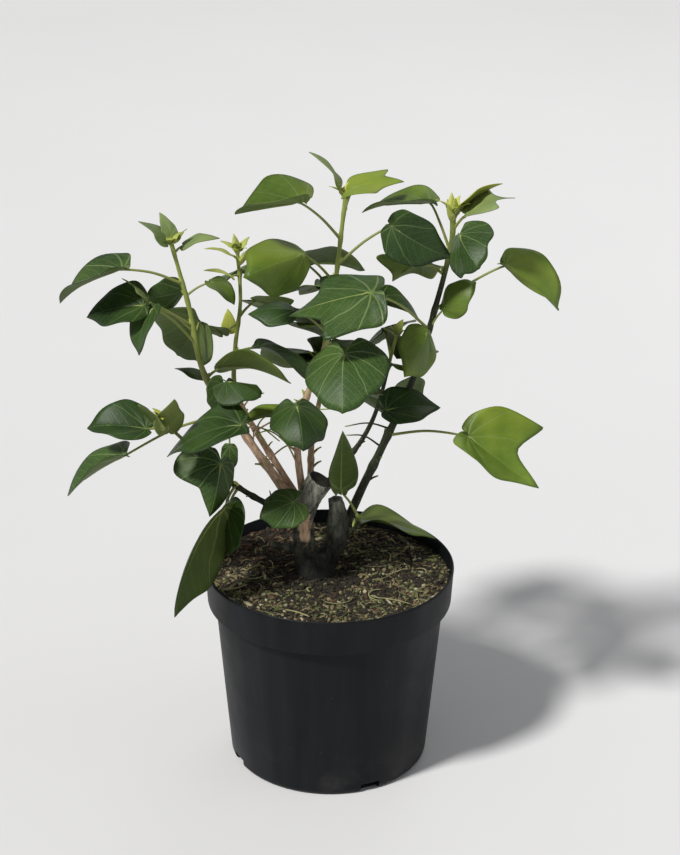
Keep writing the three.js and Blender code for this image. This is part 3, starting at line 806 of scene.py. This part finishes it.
def stalk(bm, layers, way, leaf, seed):
    """A leaf stalk that runs on under the blade as its midrib."""
    foot, base, along, upward, _ = leaf_frame(way, leaf)
    size = YOUNG_STALK if leaf.blade < YOUNG_BLADE else 1
    middle = foot.lerp(base, 0.5) + Vector((0, 0, STALK_BOW * leaf.stalk))
    rib = []
    for share in RIB_SHARES:
        forward = share * leaf.blade
        rib.append(base + along * forward - upward * (drop_at(leaf, forward, 0) + RIB_BELOW))
    curve = Way([foot, middle, base - upward * STALK_BELOW, *rib])
    knee = min(leaf.stalk / curve.length, 0.9)

    def radius_at(share, turn):
        if share < knee:
            swell = 1 + STALK_FOOT_SWELL * math.exp(-share * curve.length / STALK_FOOT_REACH)
            return lerp(STALK_RADIUS, STALK_END, share / knee) * size * swell
        return lerp(STALK_END, RIB_END, (share - knee) / (1 - knee)) * size

    tube(bm, layers, curve, radius_at, 9, 22, wobble(seed * 1.9))


def rear_leaves(shoot, seed):
    """Rear leaves by the seeded rule."""
    count, middle = shoot.get("rear", (0, 0))
    lowest = max(shoot["bare"] + REAR_ABOVE_BOUGH, REAR_SHARES[0])
    grown = []
    for i in range(count):
        height = (i + 0.5) / count

        def pick(number):
            return wobble(seed * SEED_PER_SHOOT + i * SEED_PER_LEAF + number)

        sweep = (i * GOLDEN_TURN / 180 + pick(1) * REAR_DRIFT) % 2 - 1
        turn = middle + sweep * REAR_SPREAD
        rise = lerp(*REAR_RISE, pick(2))
        stem = lerp(*REAR_STALK, pick(3)) * lerp(1, REAR_STALK_AT_TIP, height)
        size = lerp(*REAR_BLADE, height) * lerp(*REAR_BLADE_SPREAD, pick(4))
        head = turn + (pick(5) - 0.5) * 2 * REAR_SWING
        dip = lerp(*REAR_DIP, pick(6))
        roll = (pick(7) - 0.5) * 2 * REAR_ROLL
        kind = i % len(REAR_FORMS)
        share = lerp(lowest, REAR_SHARES[1], height)
        form, green = REAR_FORMS[kind], REAR_GREENS[kind]
        grown.append(Leaf(share, turn, rise, stem, size, head, dip, roll, form, green))
    return grown


# Leaflets that unfold round each shoot's tip, each further out than the last
TIP_LEAFLETS = 4
LEAFLET_SHARE = 0.985
LEAFLET_RISE = 65
LEAFLET_STALK = 3
LEAFLET_BLADE = (8, 13)
LEAFLET_OPENING = 8


def tip_leaflets(seed):
    grown = []
    for i in range(TIP_LEAFLETS):
        turn = (wobble(seed * 5.3) * 360 + i * GOLDEN_TURN) % 360
        size = lerp(*LEAFLET_BLADE, wobble(seed + i * 0.37))
        dip = LEAFLET_OPENING * i - LEAFLET_RISE
        grown.append(Leaf(LEAFLET_SHARE, turn, LEAFLET_RISE, LEAFLET_STALK, size, turn, dip, 0,
                          "young", "young"))
    return grown


# A small bud sits in the axil of each full-grown leaf
AXIL_LEAF = 28
AXIL_BUD = (4.5, 7.5)
AXIL_RISE = 62


def bud(bm, layers, way, row):
    share, turn, rise, length = row
    foot = way.at(share)
    tip = foot + direction(turn, rise) * length
    bud_way = Way([foot, foot.lerp(tip, 0.5) + direction(turn + 90, 0) * length * BUD_BOW, tip])

    def radius_at(along, around):
        scales = 1 + BUD_RIDGE * math.cos(around * math.tau * 3)
        return length * BUD_SLIMNESS * math.sin(math.pi * lerp(*BUD_SWELL, along)) * scales

    tube(bm, layers, bud_way, radius_at, 18, 16, wobble(length + turn))


# Stems thicken at each leaf's joint, and have three soft ridges that wind along them
JOINT_SWELL = 0.22
JOINT_SHARPNESS = 60
RIDGE_HEIGHT = 0.05
RIDGE_COUNT = 3
RIDGE_WINDING = 40
BARE_JOINTS = {0.2, 0.3}


def stem_radius(shoot, joints):
    foot, tip = shoot["radii"]

    def radius_at(share, turn):
        radius = tip + (foot - tip) * (1 - share) ** STEM_TAPER
        near_joint = sum(math.exp(-(((share - joint) * JOINT_SHARPNESS) ** 2)) for joint in joints)
        ridge = RIDGE_HEIGHT * math.sin(turn * math.tau * RIDGE_COUNT + share * RIDGE_WINDING)
        return radius * (1 + JOINT_SWELL * min(near_joint, 1) + ridge * (1 - share))

    return radius_at


# Short spurs on each bough, where old leaves fell off
SPURS_PER_BOUGH = 5
SPUR_SHARES = (0.12, 0.42)
SPUR_LENGTH = (6, 15)
SPUR_RADIUS = (1.1, 0.5)
SPUR_LIFT = 0.8
SPUR_FLATNESS = 0.2


def spur(bm, layers, way, share, seed):
    foot = way.at(share)
    lean = (way.heading(share) * 0.8 + direction(wobble(seed * 2.3) * 360, 0)).normalized()
    tip = foot + lean * lerp(*SPUR_LENGTH, wobble(seed * 4.1))
    bent = foot.lerp(tip, 0.6) + Vector((0, 0, SPUR_LIFT))

    def radius_at(along, around):
        flatness = SPUR_FLATNESS * math.cos(around * math.tau * 2 + seed)
        return lerp(*SPUR_RADIUS, along) * (1 + flatness)

    tube(bm, layers, Way([foot, bent, tip]), radius_at, 10, 8)


# Thin twigs and old leaf stalks without a leaf: (share of the shoot, turn, rise, length)
TWIGS = {
    "left": [(0.14, 340, 55, 30), (0.2, 75, 30, 34), (0.28, 95, 60, 26), (0.34, 80, -15, 30)],
    "mid_left": [(0.18, 300, 60, 28), (0.3, 80, 15, 32), (0.4, 60, 40, 24)],
    "centre": [(0.1, 300, 60, 34), (0.15, 270, 35, 38), (0.22, 285, 5, 30), (0.26, 80, 25, 26)],
    "right": [(0.26, 285, 25, 30), (0.32, 275, 5, 34), (0.4, 300, 30, 24)],
}
TWIG_RADIUS = (0.8, 0.45)
TWIG_BOW = 0.14


def twig(bm, layers, way, row, seed):
    share, turn, rise, length = row
    foot = way.at(share)
    tip = foot + direction(turn, rise) * length
    sway = direction(turn + 90, 0) * (2 * wobble(seed * 3.1) - 1) + Vector((0, 0, 1))
    bent = foot.lerp(tip, 0.5) + sway * TWIG_BOW * length

    def radius_at(along, around):
        return lerp(*TWIG_RADIUS, along)

    tube(bm, layers, Way([foot, bent, tip]), radius_at, 8, 14)


# Stems, and a coarse copy of each that the rear leaves keep clear of
STEM_SIDES = 18
STEM_RING_GAP = 1.6
ways = {name: Way(shoot["way"]) for name, shoot in SHOOTS.items()}
stems = {bark: Pile() for bark in STEM_SKINS}
stem_spaces = {}
for number, (name, shoot) in enumerate(SHOOTS.items()):
    joints = sorted({Leaf(*row).share for row in shoot["leaves"]} | BARE_JOINTS)
    radius_at = stem_radius(shoot, joints)
    pile = stems[shoot["bark"]]
    pile.add(tube, ways[name], radius_at, STEM_SIDES, max(24, int(ways[name].length / STEM_RING_GAP)))
    for i in range(SPURS_PER_BOUGH if shoot["bare"] else 0):
        share = lerp(*SPUR_SHARES, (i + wobble(number + i * 0.7)) / SPURS_PER_BOUGH)
        pile.add(spur, ways[name], share, number * 9 + i + 1)
    for i, row in enumerate(TWIGS.get(name, [])):
        pile.add(twig, ways[name], row, number * 9 + i + 1)
    rough = bmesh.new()
    tube(rough, new_layers(rough), ways[name], radius_at, 8, 30)
    stem_spaces[name] = BVHTree.FromBMesh(rough)
    rough.free()

# No shoot has as many leaves as this, so each leaf has a seed of its own
MOST_LEAVES = 40
leaves = {green: Pile() for green in GREENS}
stalks = Pile()
buds = Pile()


def crosses_other_stem(name, leaf, seed):
    trial = bmesh.new()
    blade(trial, new_layers(trial), ways[name], leaf, seed)
    tree = BVHTree.FromBMesh(trial)
    trial.free()
    return any(tree.overlap(space) for other, space in stem_spaces.items() if other != name)


for seed, (name, shoot) in enumerate(SHOOTS.items()):
    way = ways[name]
    given = [Leaf(*row) for row in shoot["leaves"]]
    rear = [leaf for leaf in rear_leaves(shoot, seed) if not crosses_other_stem(name, leaf, seed)]
    tips = tip_leaflets(seed + 1) if shoot["bare"] else []
    for i, leaf in enumerate([*given, *rear, *tips]):
        number = seed * MOST_LEAVES + i + 1
        leaves[leaf.green].add(blade, way, leaf, number)
        stalks.add(stalk, way, leaf, number)
        if leaf.blade >= AXIL_LEAF:
            axil_bud = (leaf.share, leaf.turn, AXIL_RISE, lerp(*AXIL_BUD, wobble(number)))
            buds.add(bud, way, axil_bud)
    for row in shoot.get("buds", []):
        buds.add(bud, way, row)

MASSES = [f"foliage_{name}" for name in SHOOTS]
BOUGHS = [f"bough_{name}" for name, shoot in SHOOTS.items() if shoot["bare"]]
for green, pile in leaves.items():
    blades = piece_from(f"leaves_{green}", pile.whole, LEAF_SKINS[green], MASSES, closed=False)
    thick = blades.modifiers.new("thickness", "SOLIDIFY")
    thick.thickness = LEAF_THICKNESS * MM
    thick.offset = 0
    thick.material_offset = 1
    thick.material_offset_rim = 0
piece_from("leaf_stalks", stalks.whole, [STALK_SKIN], MASSES)
piece_from("buds", buds.whole, [BUD_SKIN], MASSES)
for bark, pile in stems.items():
    piece_from(f"stems_{bark}", pile.whole, [STEM_SKINS[bark]], BOUGHS + MASSES)

# Old stock: its limbs are joined in one skin, which then gets bark relief
STOCK_VOXEL = 0.9
LONG_GRAIN = (0.32, 0.32, 0.09)
LONG_GRAIN_HEIGHT = 0.5
FINE_GRAIN = 0.8
FINE_GRAIN_HEIGHT = 0.16

# Knots, each with its place, reach and height
KNOTS = [
    ((-25, -4, 182), 5, 1.6),
    ((-12, -12, 158), 6, 2),
    ((9, -2, 176), 5, 1.8),
    ((-20, -4, 198), 4, 1.2),
]

# The stub's end is cut across and rotted out in the middle
STUB_TOP = Vector(TRUNK_LIMBS[2][0][-1])
STUB_HEADING = (STUB_TOP - Vector(TRUNK_LIMBS[2][0][-2])).normalized()
HOLLOW_RADIUS = 8.4
HOLLOW_DEPTH = 5
CUT_BAND = 1.5
BELOW_LINING = 0.4


def hollow_drop(off_axis):
    return HOLLOW_DEPTH * (1 - min(off_axis / HOLLOW_RADIUS, 1) ** 2)


def stock_piece():
    bm = bmesh.new()
    layers = new_layers(bm)
    for points, radii in TRUNK_LIMBS:
        last = len(radii) - 1

        def radius_at(share, turn, radii=radii, last=last):
            step = min(int(share * last), last - 1)
            return lerp(radii[step], radii[step + 1], share * last - step)

        tube(bm, layers, Way(points), radius_at, 28, 24)
    bmesh.ops.recalc_face_normals(bm, faces=bm.faces)
    holder = object_from("rough_stock", bm)
    remesh = holder.modifiers.new("skin", "REMESH")
    remesh.mode = "VOXEL"
    remesh.voxel_size = STOCK_VOXEL * MM
    bm = finished_bmesh(holder)
    bmesh.ops.bisect_plane(bm, geom=[*bm.verts, *bm.edges, *bm.faces], dist=1e-6,
                           plane_co=(0, 0, TRUNK_FOOT * MM), plane_no=(0, 0, 1), clear_inner=True)
    rims = [edge for edge in bm.edges if edge.is_boundary]
    bmesh.ops.holes_fill(bm, edges=rims, sides=0)
    bmesh.ops.smooth_vert(bm, verts=bm.verts, factor=0.5, use_axis_x=True, use_axis_y=True, use_axis_z=False)
    bm.normal_update()
    for vert in bm.verts:
        place = vert.co / MM
        if place.z < TRUNK_FOOT + 0.01:
            continue
        stretched = Vector([a * b for a, b in zip(place, LONG_GRAIN)])
        height = LONG_GRAIN_HEIGHT * noise.fractal(stretched, 0.9, 2, 4)
        height += FINE_GRAIN_HEIGHT * noise.fractal(place * FINE_GRAIN, 0.8, 2, 3)
        for knot, reach, swell in KNOTS:
            height += swell * math.exp(-(((place - Vector(knot)).length / reach) ** 2))
        above_cut = (place - STUB_TOP).dot(STUB_HEADING)
        off_axis = (place - STUB_TOP - STUB_HEADING * above_cut).length
        if above_cut > -CUT_BAND and off_axis < HOLLOW_RADIUS:
            vert.co -= STUB_HEADING * (hollow_drop(off_axis) + BELOW_LINING) * MM
        else:
            vert.co += vert.normal * height * MM
    piece_from("old_stock", bm, [OLD_BARK], ["trunk"])


stock_piece()


# Dark rotten wood that lines the hollow, with worn growth rings
LINING_RADIUS = HOLLOW_RADIUS + 0.3
LINING_THICKNESS = 0.6
LINING_LIFT = 0.4
LINING_UNEVEN = 0.04
GROWTH_RING_HEIGHT = 0.25
GROWTH_RING_PACE = 24


def stub_cut():
    bm = bmesh.new()
    layers = new_layers(bm)
    across = Vector((0, 1, 0)).cross(STUB_HEADING).normalized()
    upward = STUB_HEADING.cross(across)

    def place(turn, ring):
        angle = turn * math.tau
        radius = LINING_RADIUS * ring * (1 + LINING_UNEVEN * ring * math.sin(angle * 3 + 1))
        growth_ring = GROWTH_RING_HEIGHT * math.sin(ring * GROWTH_RING_PACE) * (1 - ring)
        lift = LINING_LIFT + growth_ring - hollow_drop(radius)
        outward = across * math.cos(angle) + upward * math.sin(angle)
        return STUB_TOP + outward * radius + STUB_HEADING * lift, (ring, turn), ring

    wrapped(bm, layers, 40, 16, place)
    bmesh.ops.recalc_face_normals(bm, faces=bm.faces)
    bmesh.ops.solidify(bm, geom=[*bm.verts, *bm.edges, *bm.faces], thickness=LINING_THICKNESS * MM)
    piece_from("stub_cut", bm, [CUT_WOOD])


stub_cut()


# Peat with its crumbs and straw: pace and height of its lumps and of its grain
SOIL_LUMPS = (0.09, 0.9)
SOIL_GRAIN = (0.55, 0.45)
SOIL_FOOT_SHARE = 0.95


def soil_height(x, y):
    """The soil's even surface: level round the stock, and higher or lower at the pot's wall."""
    radius = math.hypot(x, y)
    if radius <= SOIL_FLAT_RADIUS:
        return SOIL_LEVEL
    low = direction(SOIL_LOW_TURN, 0)
    outward = min((radius - SOIL_FLAT_RADIUS) / (SOIL_RADIUS - SOIL_FLAT_RADIUS), 1)
    low_share = 0.5 + 0.5 * (x * low.x + y * low.y) / radius
    return lerp(SOIL_LEVEL, lerp(SOIL_EDGE_FRONT, SOIL_EDGE_BACK, low_share), outward)


def soil_surface(x, y):
    pace, lumps = SOIL_LUMPS
    fine_pace, grain = SOIL_GRAIN
    coarse = noise.fractal(Vector((x * pace, y * pace, 3)), 0.9, 2, 4)
    fine = noise.fractal(Vector((x * fine_pace, y * fine_pace, 7)), 0.8, 2, 3)
    return soil_height(x, y) + lumps * coarse + grain * fine


def peat_bed():
    bm = bmesh.new()
    layers = new_layers(bm)

    def place(turn, ring):
        angle = turn * math.tau
        x = math.cos(angle) * ring * SOIL_RADIUS
        y = math.sin(angle) * ring * SOIL_RADIUS
        return Vector((x, y, soil_surface(x, y))), (x / 100, y / 100), wobble(round(x) + y)

    wrapped(bm, layers, 200, 84, place)
    rim = [edge for edge in bm.edges if edge.is_boundary]
    made = bmesh.ops.extrude_edge_only(bm, edges=rim)["geom"]
    lowered = [item for item in made if isinstance(item, bmesh.types.BMVert)]
    for vert in lowered:
        vert.co *= SOIL_FOOT_SHARE
        vert.co.z = (SOIL_LEVEL - SOIL_DEPTH) * MM
    bmesh.ops.holes_fill(bm, edges=[edge for edge in bm.edges if edge.is_boundary], sides=0)
    piece_from("peat_bed", bm, [PEAT], ["soil"])


peat_bed()

CRUMB_COUNT = 8200
CRUMB_SIZE = (0.45, 2.4)
CHIP_SHARE = 0.45
CRUMB_JITTER = 0.22
RUST_CORNER = (-20, 10)
# Painted shade: round the stock, within a wavering reach, the crumbs are mostly dark peat
PAINTED_SHADE_MIDDLE = (-8, -4)
PAINTED_SHADE_REACH = 30
PAINTED_SHADE_SWAY = 8
scatter = random.Random(11)


def crumb_kind(x, y):
    """Rust at the back left, mostly dark peat round the stock as painted shade, and moss and paler bits in
    drifts elsewhere.
    """
    chance = scatter.random()
    mossy = 0.16 + 0.5 * max(0, noise.noise(Vector((x * 0.04, y * 0.04, 1))) + 0.15)
    pale = 0.24 + 0.5 * max(0, noise.noise(Vector((x * 0.035, y * 0.035, 5))) + 0.1)
    painted_shade_reach = PAINTED_SHADE_REACH + PAINTED_SHADE_SWAY * noise.noise(Vector((x * 0.1, y * 0.1, 2)))
    if x < RUST_CORNER[0] and y > RUST_CORNER[1]:
        return "rust" if chance < 0.3 else "peat" if chance < 0.85 else "tan"
    if math.dist((x, y), PAINTED_SHADE_MIDDLE) < painted_shade_reach:
        return "peat" if chance < 0.86 else "moss" if chance < 0.95 else "tan"
    if chance < mossy:
        return "moss"
    if chance < mossy + pale:
        return "tan" if chance < mossy + pale * 0.78 else "cream"
    return "peat" if chance < 0.95 else "rust"


# Crumbs are made in small batches, because each new one takes longer in a large bmesh
CRUMB_BATCH = 60


def crumbs():
    piles = {kind: Pile() for kind in CRUMBS}
    meshes = {kind: bmesh.new() for kind in CRUMBS}
    layers = {kind: new_layers(bm) for kind, bm in meshes.items()}
    for _ in range(CRUMB_COUNT):
        angle = scatter.random() * math.tau
        radius = math.sqrt(scatter.random()) * (SOIL_RADIUS - 1.5)
        x = math.cos(angle) * radius
        y = math.sin(angle) * radius
        kind = crumb_kind(x, y)
        bm = meshes[kind]
        size = lerp(*CRUMB_SIZE, scatter.random() ** 4)
        chip = scatter.random() < CHIP_SHARE
        made = bmesh.ops.create_icosphere(bm, subdivisions=1, radius=1)["verts"]
        stretch = Vector((1, scatter.uniform(0.5, 1), scatter.uniform(0.45, 0.9)))
        if chip:
            stretch = Vector((scatter.uniform(1.6, 3), scatter.uniform(0.4, 0.9), 0.35))
        turn = Matrix.Rotation(scatter.random() * math.tau, 3, "Z")
        tilt = Matrix.Rotation(scatter.uniform(-0.5, 0.5), 3, "X")
        centre = Vector((x, y, soil_surface(x, y) + size * 0.25))
        shade = scatter.random()
        for vert in made:
            jitter = 1 + scatter.uniform(-CRUMB_JITTER, CRUMB_JITTER)
            shaped = Vector([a * b for a, b in zip(vert.co, stretch)]) * size * jitter
            vert.co = (centre + turn @ tilt @ shaped) * MM
            vert[layers[kind][1]] = shade
        if len(bm.verts) > CRUMB_BATCH * len(made):
            piles[kind].take(bm)
            meshes[kind] = bmesh.new()
            layers[kind] = new_layers(meshes[kind])
    for kind, pile in piles.items():
        pile.take(meshes[kind])
        piece_from(f"crumbs_{kind}", pile.whole, [CRUMBS[kind]])


crumbs()

STRAW_COUNT = 54
STRAW_LENGTH = (8, 34)
STRAW_THICKNESS = (0.25, 0.55)
STRAW_CURL = 1.7
STRAW_LIFT = 1.2
STRAW_ARCH = 0.8
STRAW_PLACES = (20, SOIL_RADIUS - 14)
STRAW_REACH = SOIL_RADIUS - 2


def straws():
    """Curled straws that lie on the peat, arched a little, and end short of the pot's wall."""
    pile = Pile()
    for _ in range(STRAW_COUNT):
        angle = scatter.random() * math.tau
        radius = lerp(*STRAW_PLACES, math.sqrt(scatter.random()))
        middle = Vector((math.cos(angle) * radius, math.sin(angle) * radius, 0))
        length = lerp(*STRAW_LENGTH, scatter.random() ** 2)
        heading = scatter.random() * math.tau
        curl = scatter.uniform(-STRAW_CURL, STRAW_CURL)
        points = []
        for step in range(6):
            share = step / 5 - 0.5
            bend = heading + curl * share
            spot = middle + Vector((math.cos(bend), math.sin(bend), 0)) * length * share
            reach = math.hypot(spot.x, spot.y)
            if reach > STRAW_REACH:
                spot *= STRAW_REACH / reach
            spot.z = soil_height(spot.x, spot.y) + STRAW_LIFT + STRAW_ARCH * (1 - 4 * share**2)
            points.append(spot)
        thickness = scatter.uniform(*STRAW_THICKNESS)

        def radius_at(share, turn, thickness=thickness):
            return thickness * (0.5 + 0.5 * math.sin(math.pi * lerp(0.1, 0.9, share)))

        pile.add(tube, Way(points), radius_at, 6, 14, scatter.random())
    piece_from("straws", pile.whole, [STRAW])


straws()


# Nursery pot: a spun wall with a banded rim, and notches cut through its lower edge
def pot_body():
    band_bottom = POT_HEIGHT - BAND_HEIGHT
    body_top = RIM_RADIUS - BAND_DRAFT - BAND_OVERHANG
    inside = RIM_RADIUS - POT_WALL
    foot = [(FOOT_RADIUS - FOOT_ROUNDING * (1 - math.sin(a)), FOOT_ROUNDING * (1 - math.cos(a)))
            for a in (math.radians(d) for d in range(0, 91, 15))]
    profile = [
        (0, 0.0),
        (FOOT_RADIUS - 14, 0.0),
        *foot,
        (FOOT_RADIUS + 4, 50),
        (body_top - 0.6, band_bottom - 4),
        (body_top, band_bottom - 1.2),
        (body_top + 0.8, band_bottom - 0.3),
        (RIM_RADIUS - BAND_DRAFT - 0.9, band_bottom),
        (RIM_RADIUS - BAND_DRAFT - 0.2, band_bottom + 0.3),
        (RIM_RADIUS - BAND_DRAFT, band_bottom + 1.1),
        (RIM_RADIUS - 0.2, POT_HEIGHT - 3),
        (RIM_RADIUS, POT_HEIGHT - 1.6),
        (RIM_RADIUS - 0.1, POT_HEIGHT - 0.5),
        (RIM_RADIUS - 0.6, POT_HEIGHT),
        (inside + 0.4, POT_HEIGHT),
        (inside, POT_HEIGHT - 0.6),
        (inside - BAND_DRAFT, band_bottom + POT_WALL),
        (body_top - POT_WALL, band_bottom),
        (FOOT_RADIUS - POT_WALL, FOOT_ROUNDING + POT_FLOOR),
        (FOOT_RADIUS - FOOT_ROUNDING, POT_FLOOR),
        (0, POT_FLOOR),
    ]
    bm = bmesh.new()
    verts = [bm.verts.new((x * MM, 0, z * MM)) for x, z in profile]
    edges = [bm.edges.new(pair) for pair in zip(verts, verts[1:])]
    bmesh.ops.spin(bm, geom=[*verts, *edges], cent=(0, 0, 0), axis=(0, 0, 1), dvec=(0, 0, 0),
                   angle=math.tau, steps=POT_STEPS, use_merge=True)
    bmesh.ops.remove_doubles(bm, verts=bm.verts, dist=1e-6)
    bmesh.ops.recalc_face_normals(bm, faces=bm.faces)
    whole = object_from("whole_pot", bm)
    cutter = bmesh.new()
    for i in range(NOTCH_COUNT):
        made = bmesh.ops.create_cube(cutter, size=1)["verts"]
        for vert in made:
            vert.co = Vector([a * b for a, b in zip(vert.co, NOTCH_SIZE)]) * MM
            vert.co.y -= FOOT_RADIUS * MM
        turn = math.radians(NOTCH_FIRST_TURN + 360 / NOTCH_COUNT * i)
        bmesh.ops.rotate(cutter, verts=made, matrix=Matrix.Rotation(turn, 3, "Z"))
    notches = object_from("notches", cutter)
    boolean = whole.modifiers.new("notches", "BOOLEAN")
    boolean.object = notches
    boolean.solver = "EXACT"
    bm = finished_bmesh(whole)
    bpy.data.objects.remove(notches)
    piece_from("nursery_pot", bm, [pot_finish()], ["pot"], POT_SHARP_ANGLE)


pot_body()


# Plain pale floor. Floor, lights and camera are placed in metres
FLOOR_REACH = 20


def pale_floor():
    bm = bmesh.new()
    bmesh.ops.create_grid(bm, x_segments=2, y_segments=2, size=FLOOR_REACH)
    floor = object_from("floor", bm)
    paper = Finish("floor_paper", roughness=0.9)
    paper.colour(paper.blend(paper.noise(paper.place(), 3), rgb(212, 212, 213), rgb(216, 216, 217)))
    floor.data.materials.append(paper.material)


pale_floor()


# Soft sun from the front left, a wide low light at the right and one behind
SUN_WAY = Vector((1.3, 1.1, -2.1))
SUN_SPREAD = 8
PLANT_MIDDLE = Vector((0, 0, 0.27))
FILL_PLACE = Vector((1.9, -0.3, 1.0))
BACK_PLACE = Vector((0.6, 1.7, 1.8))


def light(name, kind, place, way, power, tint, **settings):
    lamp = bpy.data.lights.new(name, kind)
    lamp.energy = power
    lamp.color = tint
    for key, value in settings.items():
        setattr(lamp, key, value)
    holder = bpy.data.objects.new(name, lamp)
    holder.location = place
    holder.rotation_euler = way.to_track_quat("-Z", "Y").to_euler()
    bpy.context.scene.collection.objects.link(holder)


light("key", "SUN", (0, 0, 0), SUN_WAY, 3.4, (1, 0.985, 0.96), angle=math.radians(SUN_SPREAD))
light("fill", "AREA", FILL_PLACE, PLANT_MIDDLE - FILL_PLACE, 5, (0.96, 0.98, 1), shape="DISK", size=1.8)
light("back", "AREA", BACK_PLACE, PLANT_MIDDLE - BACK_PLACE, 6, (1, 1, 1), shape="DISK", size=1.4)

WORLD_STRENGTH = 0.3
world = bpy.data.worlds.new("studio")
bpy.context.scene.world = world
world.use_nodes = True
backdrop = world.node_tree.nodes["Background"]
backdrop.inputs["Color"].default_value = rgb(236, 237, 239)
backdrop.inputs["Strength"].default_value = WORLD_STRENGTH
bpy.context.scene.view_settings.view_transform = "Standard"

camera = bpy.data.objects.new("camera", bpy.data.cameras.new("camera"))
camera.data.lens = CAMERA_LENS
camera.data.sensor_width = CAMERA_SENSOR
camera.matrix_world = (
    Matrix.Translation(CAMERA_PLACE)
    @ Matrix.Rotation(math.radians(CAMERA_TILT), 4, "X")
    @ Matrix.Rotation(math.radians(CAMERA_ROLL), 4, "Z")
)
bpy.context.scene.collection.objects.link(camera)
bpy.context.scene.camera = camera
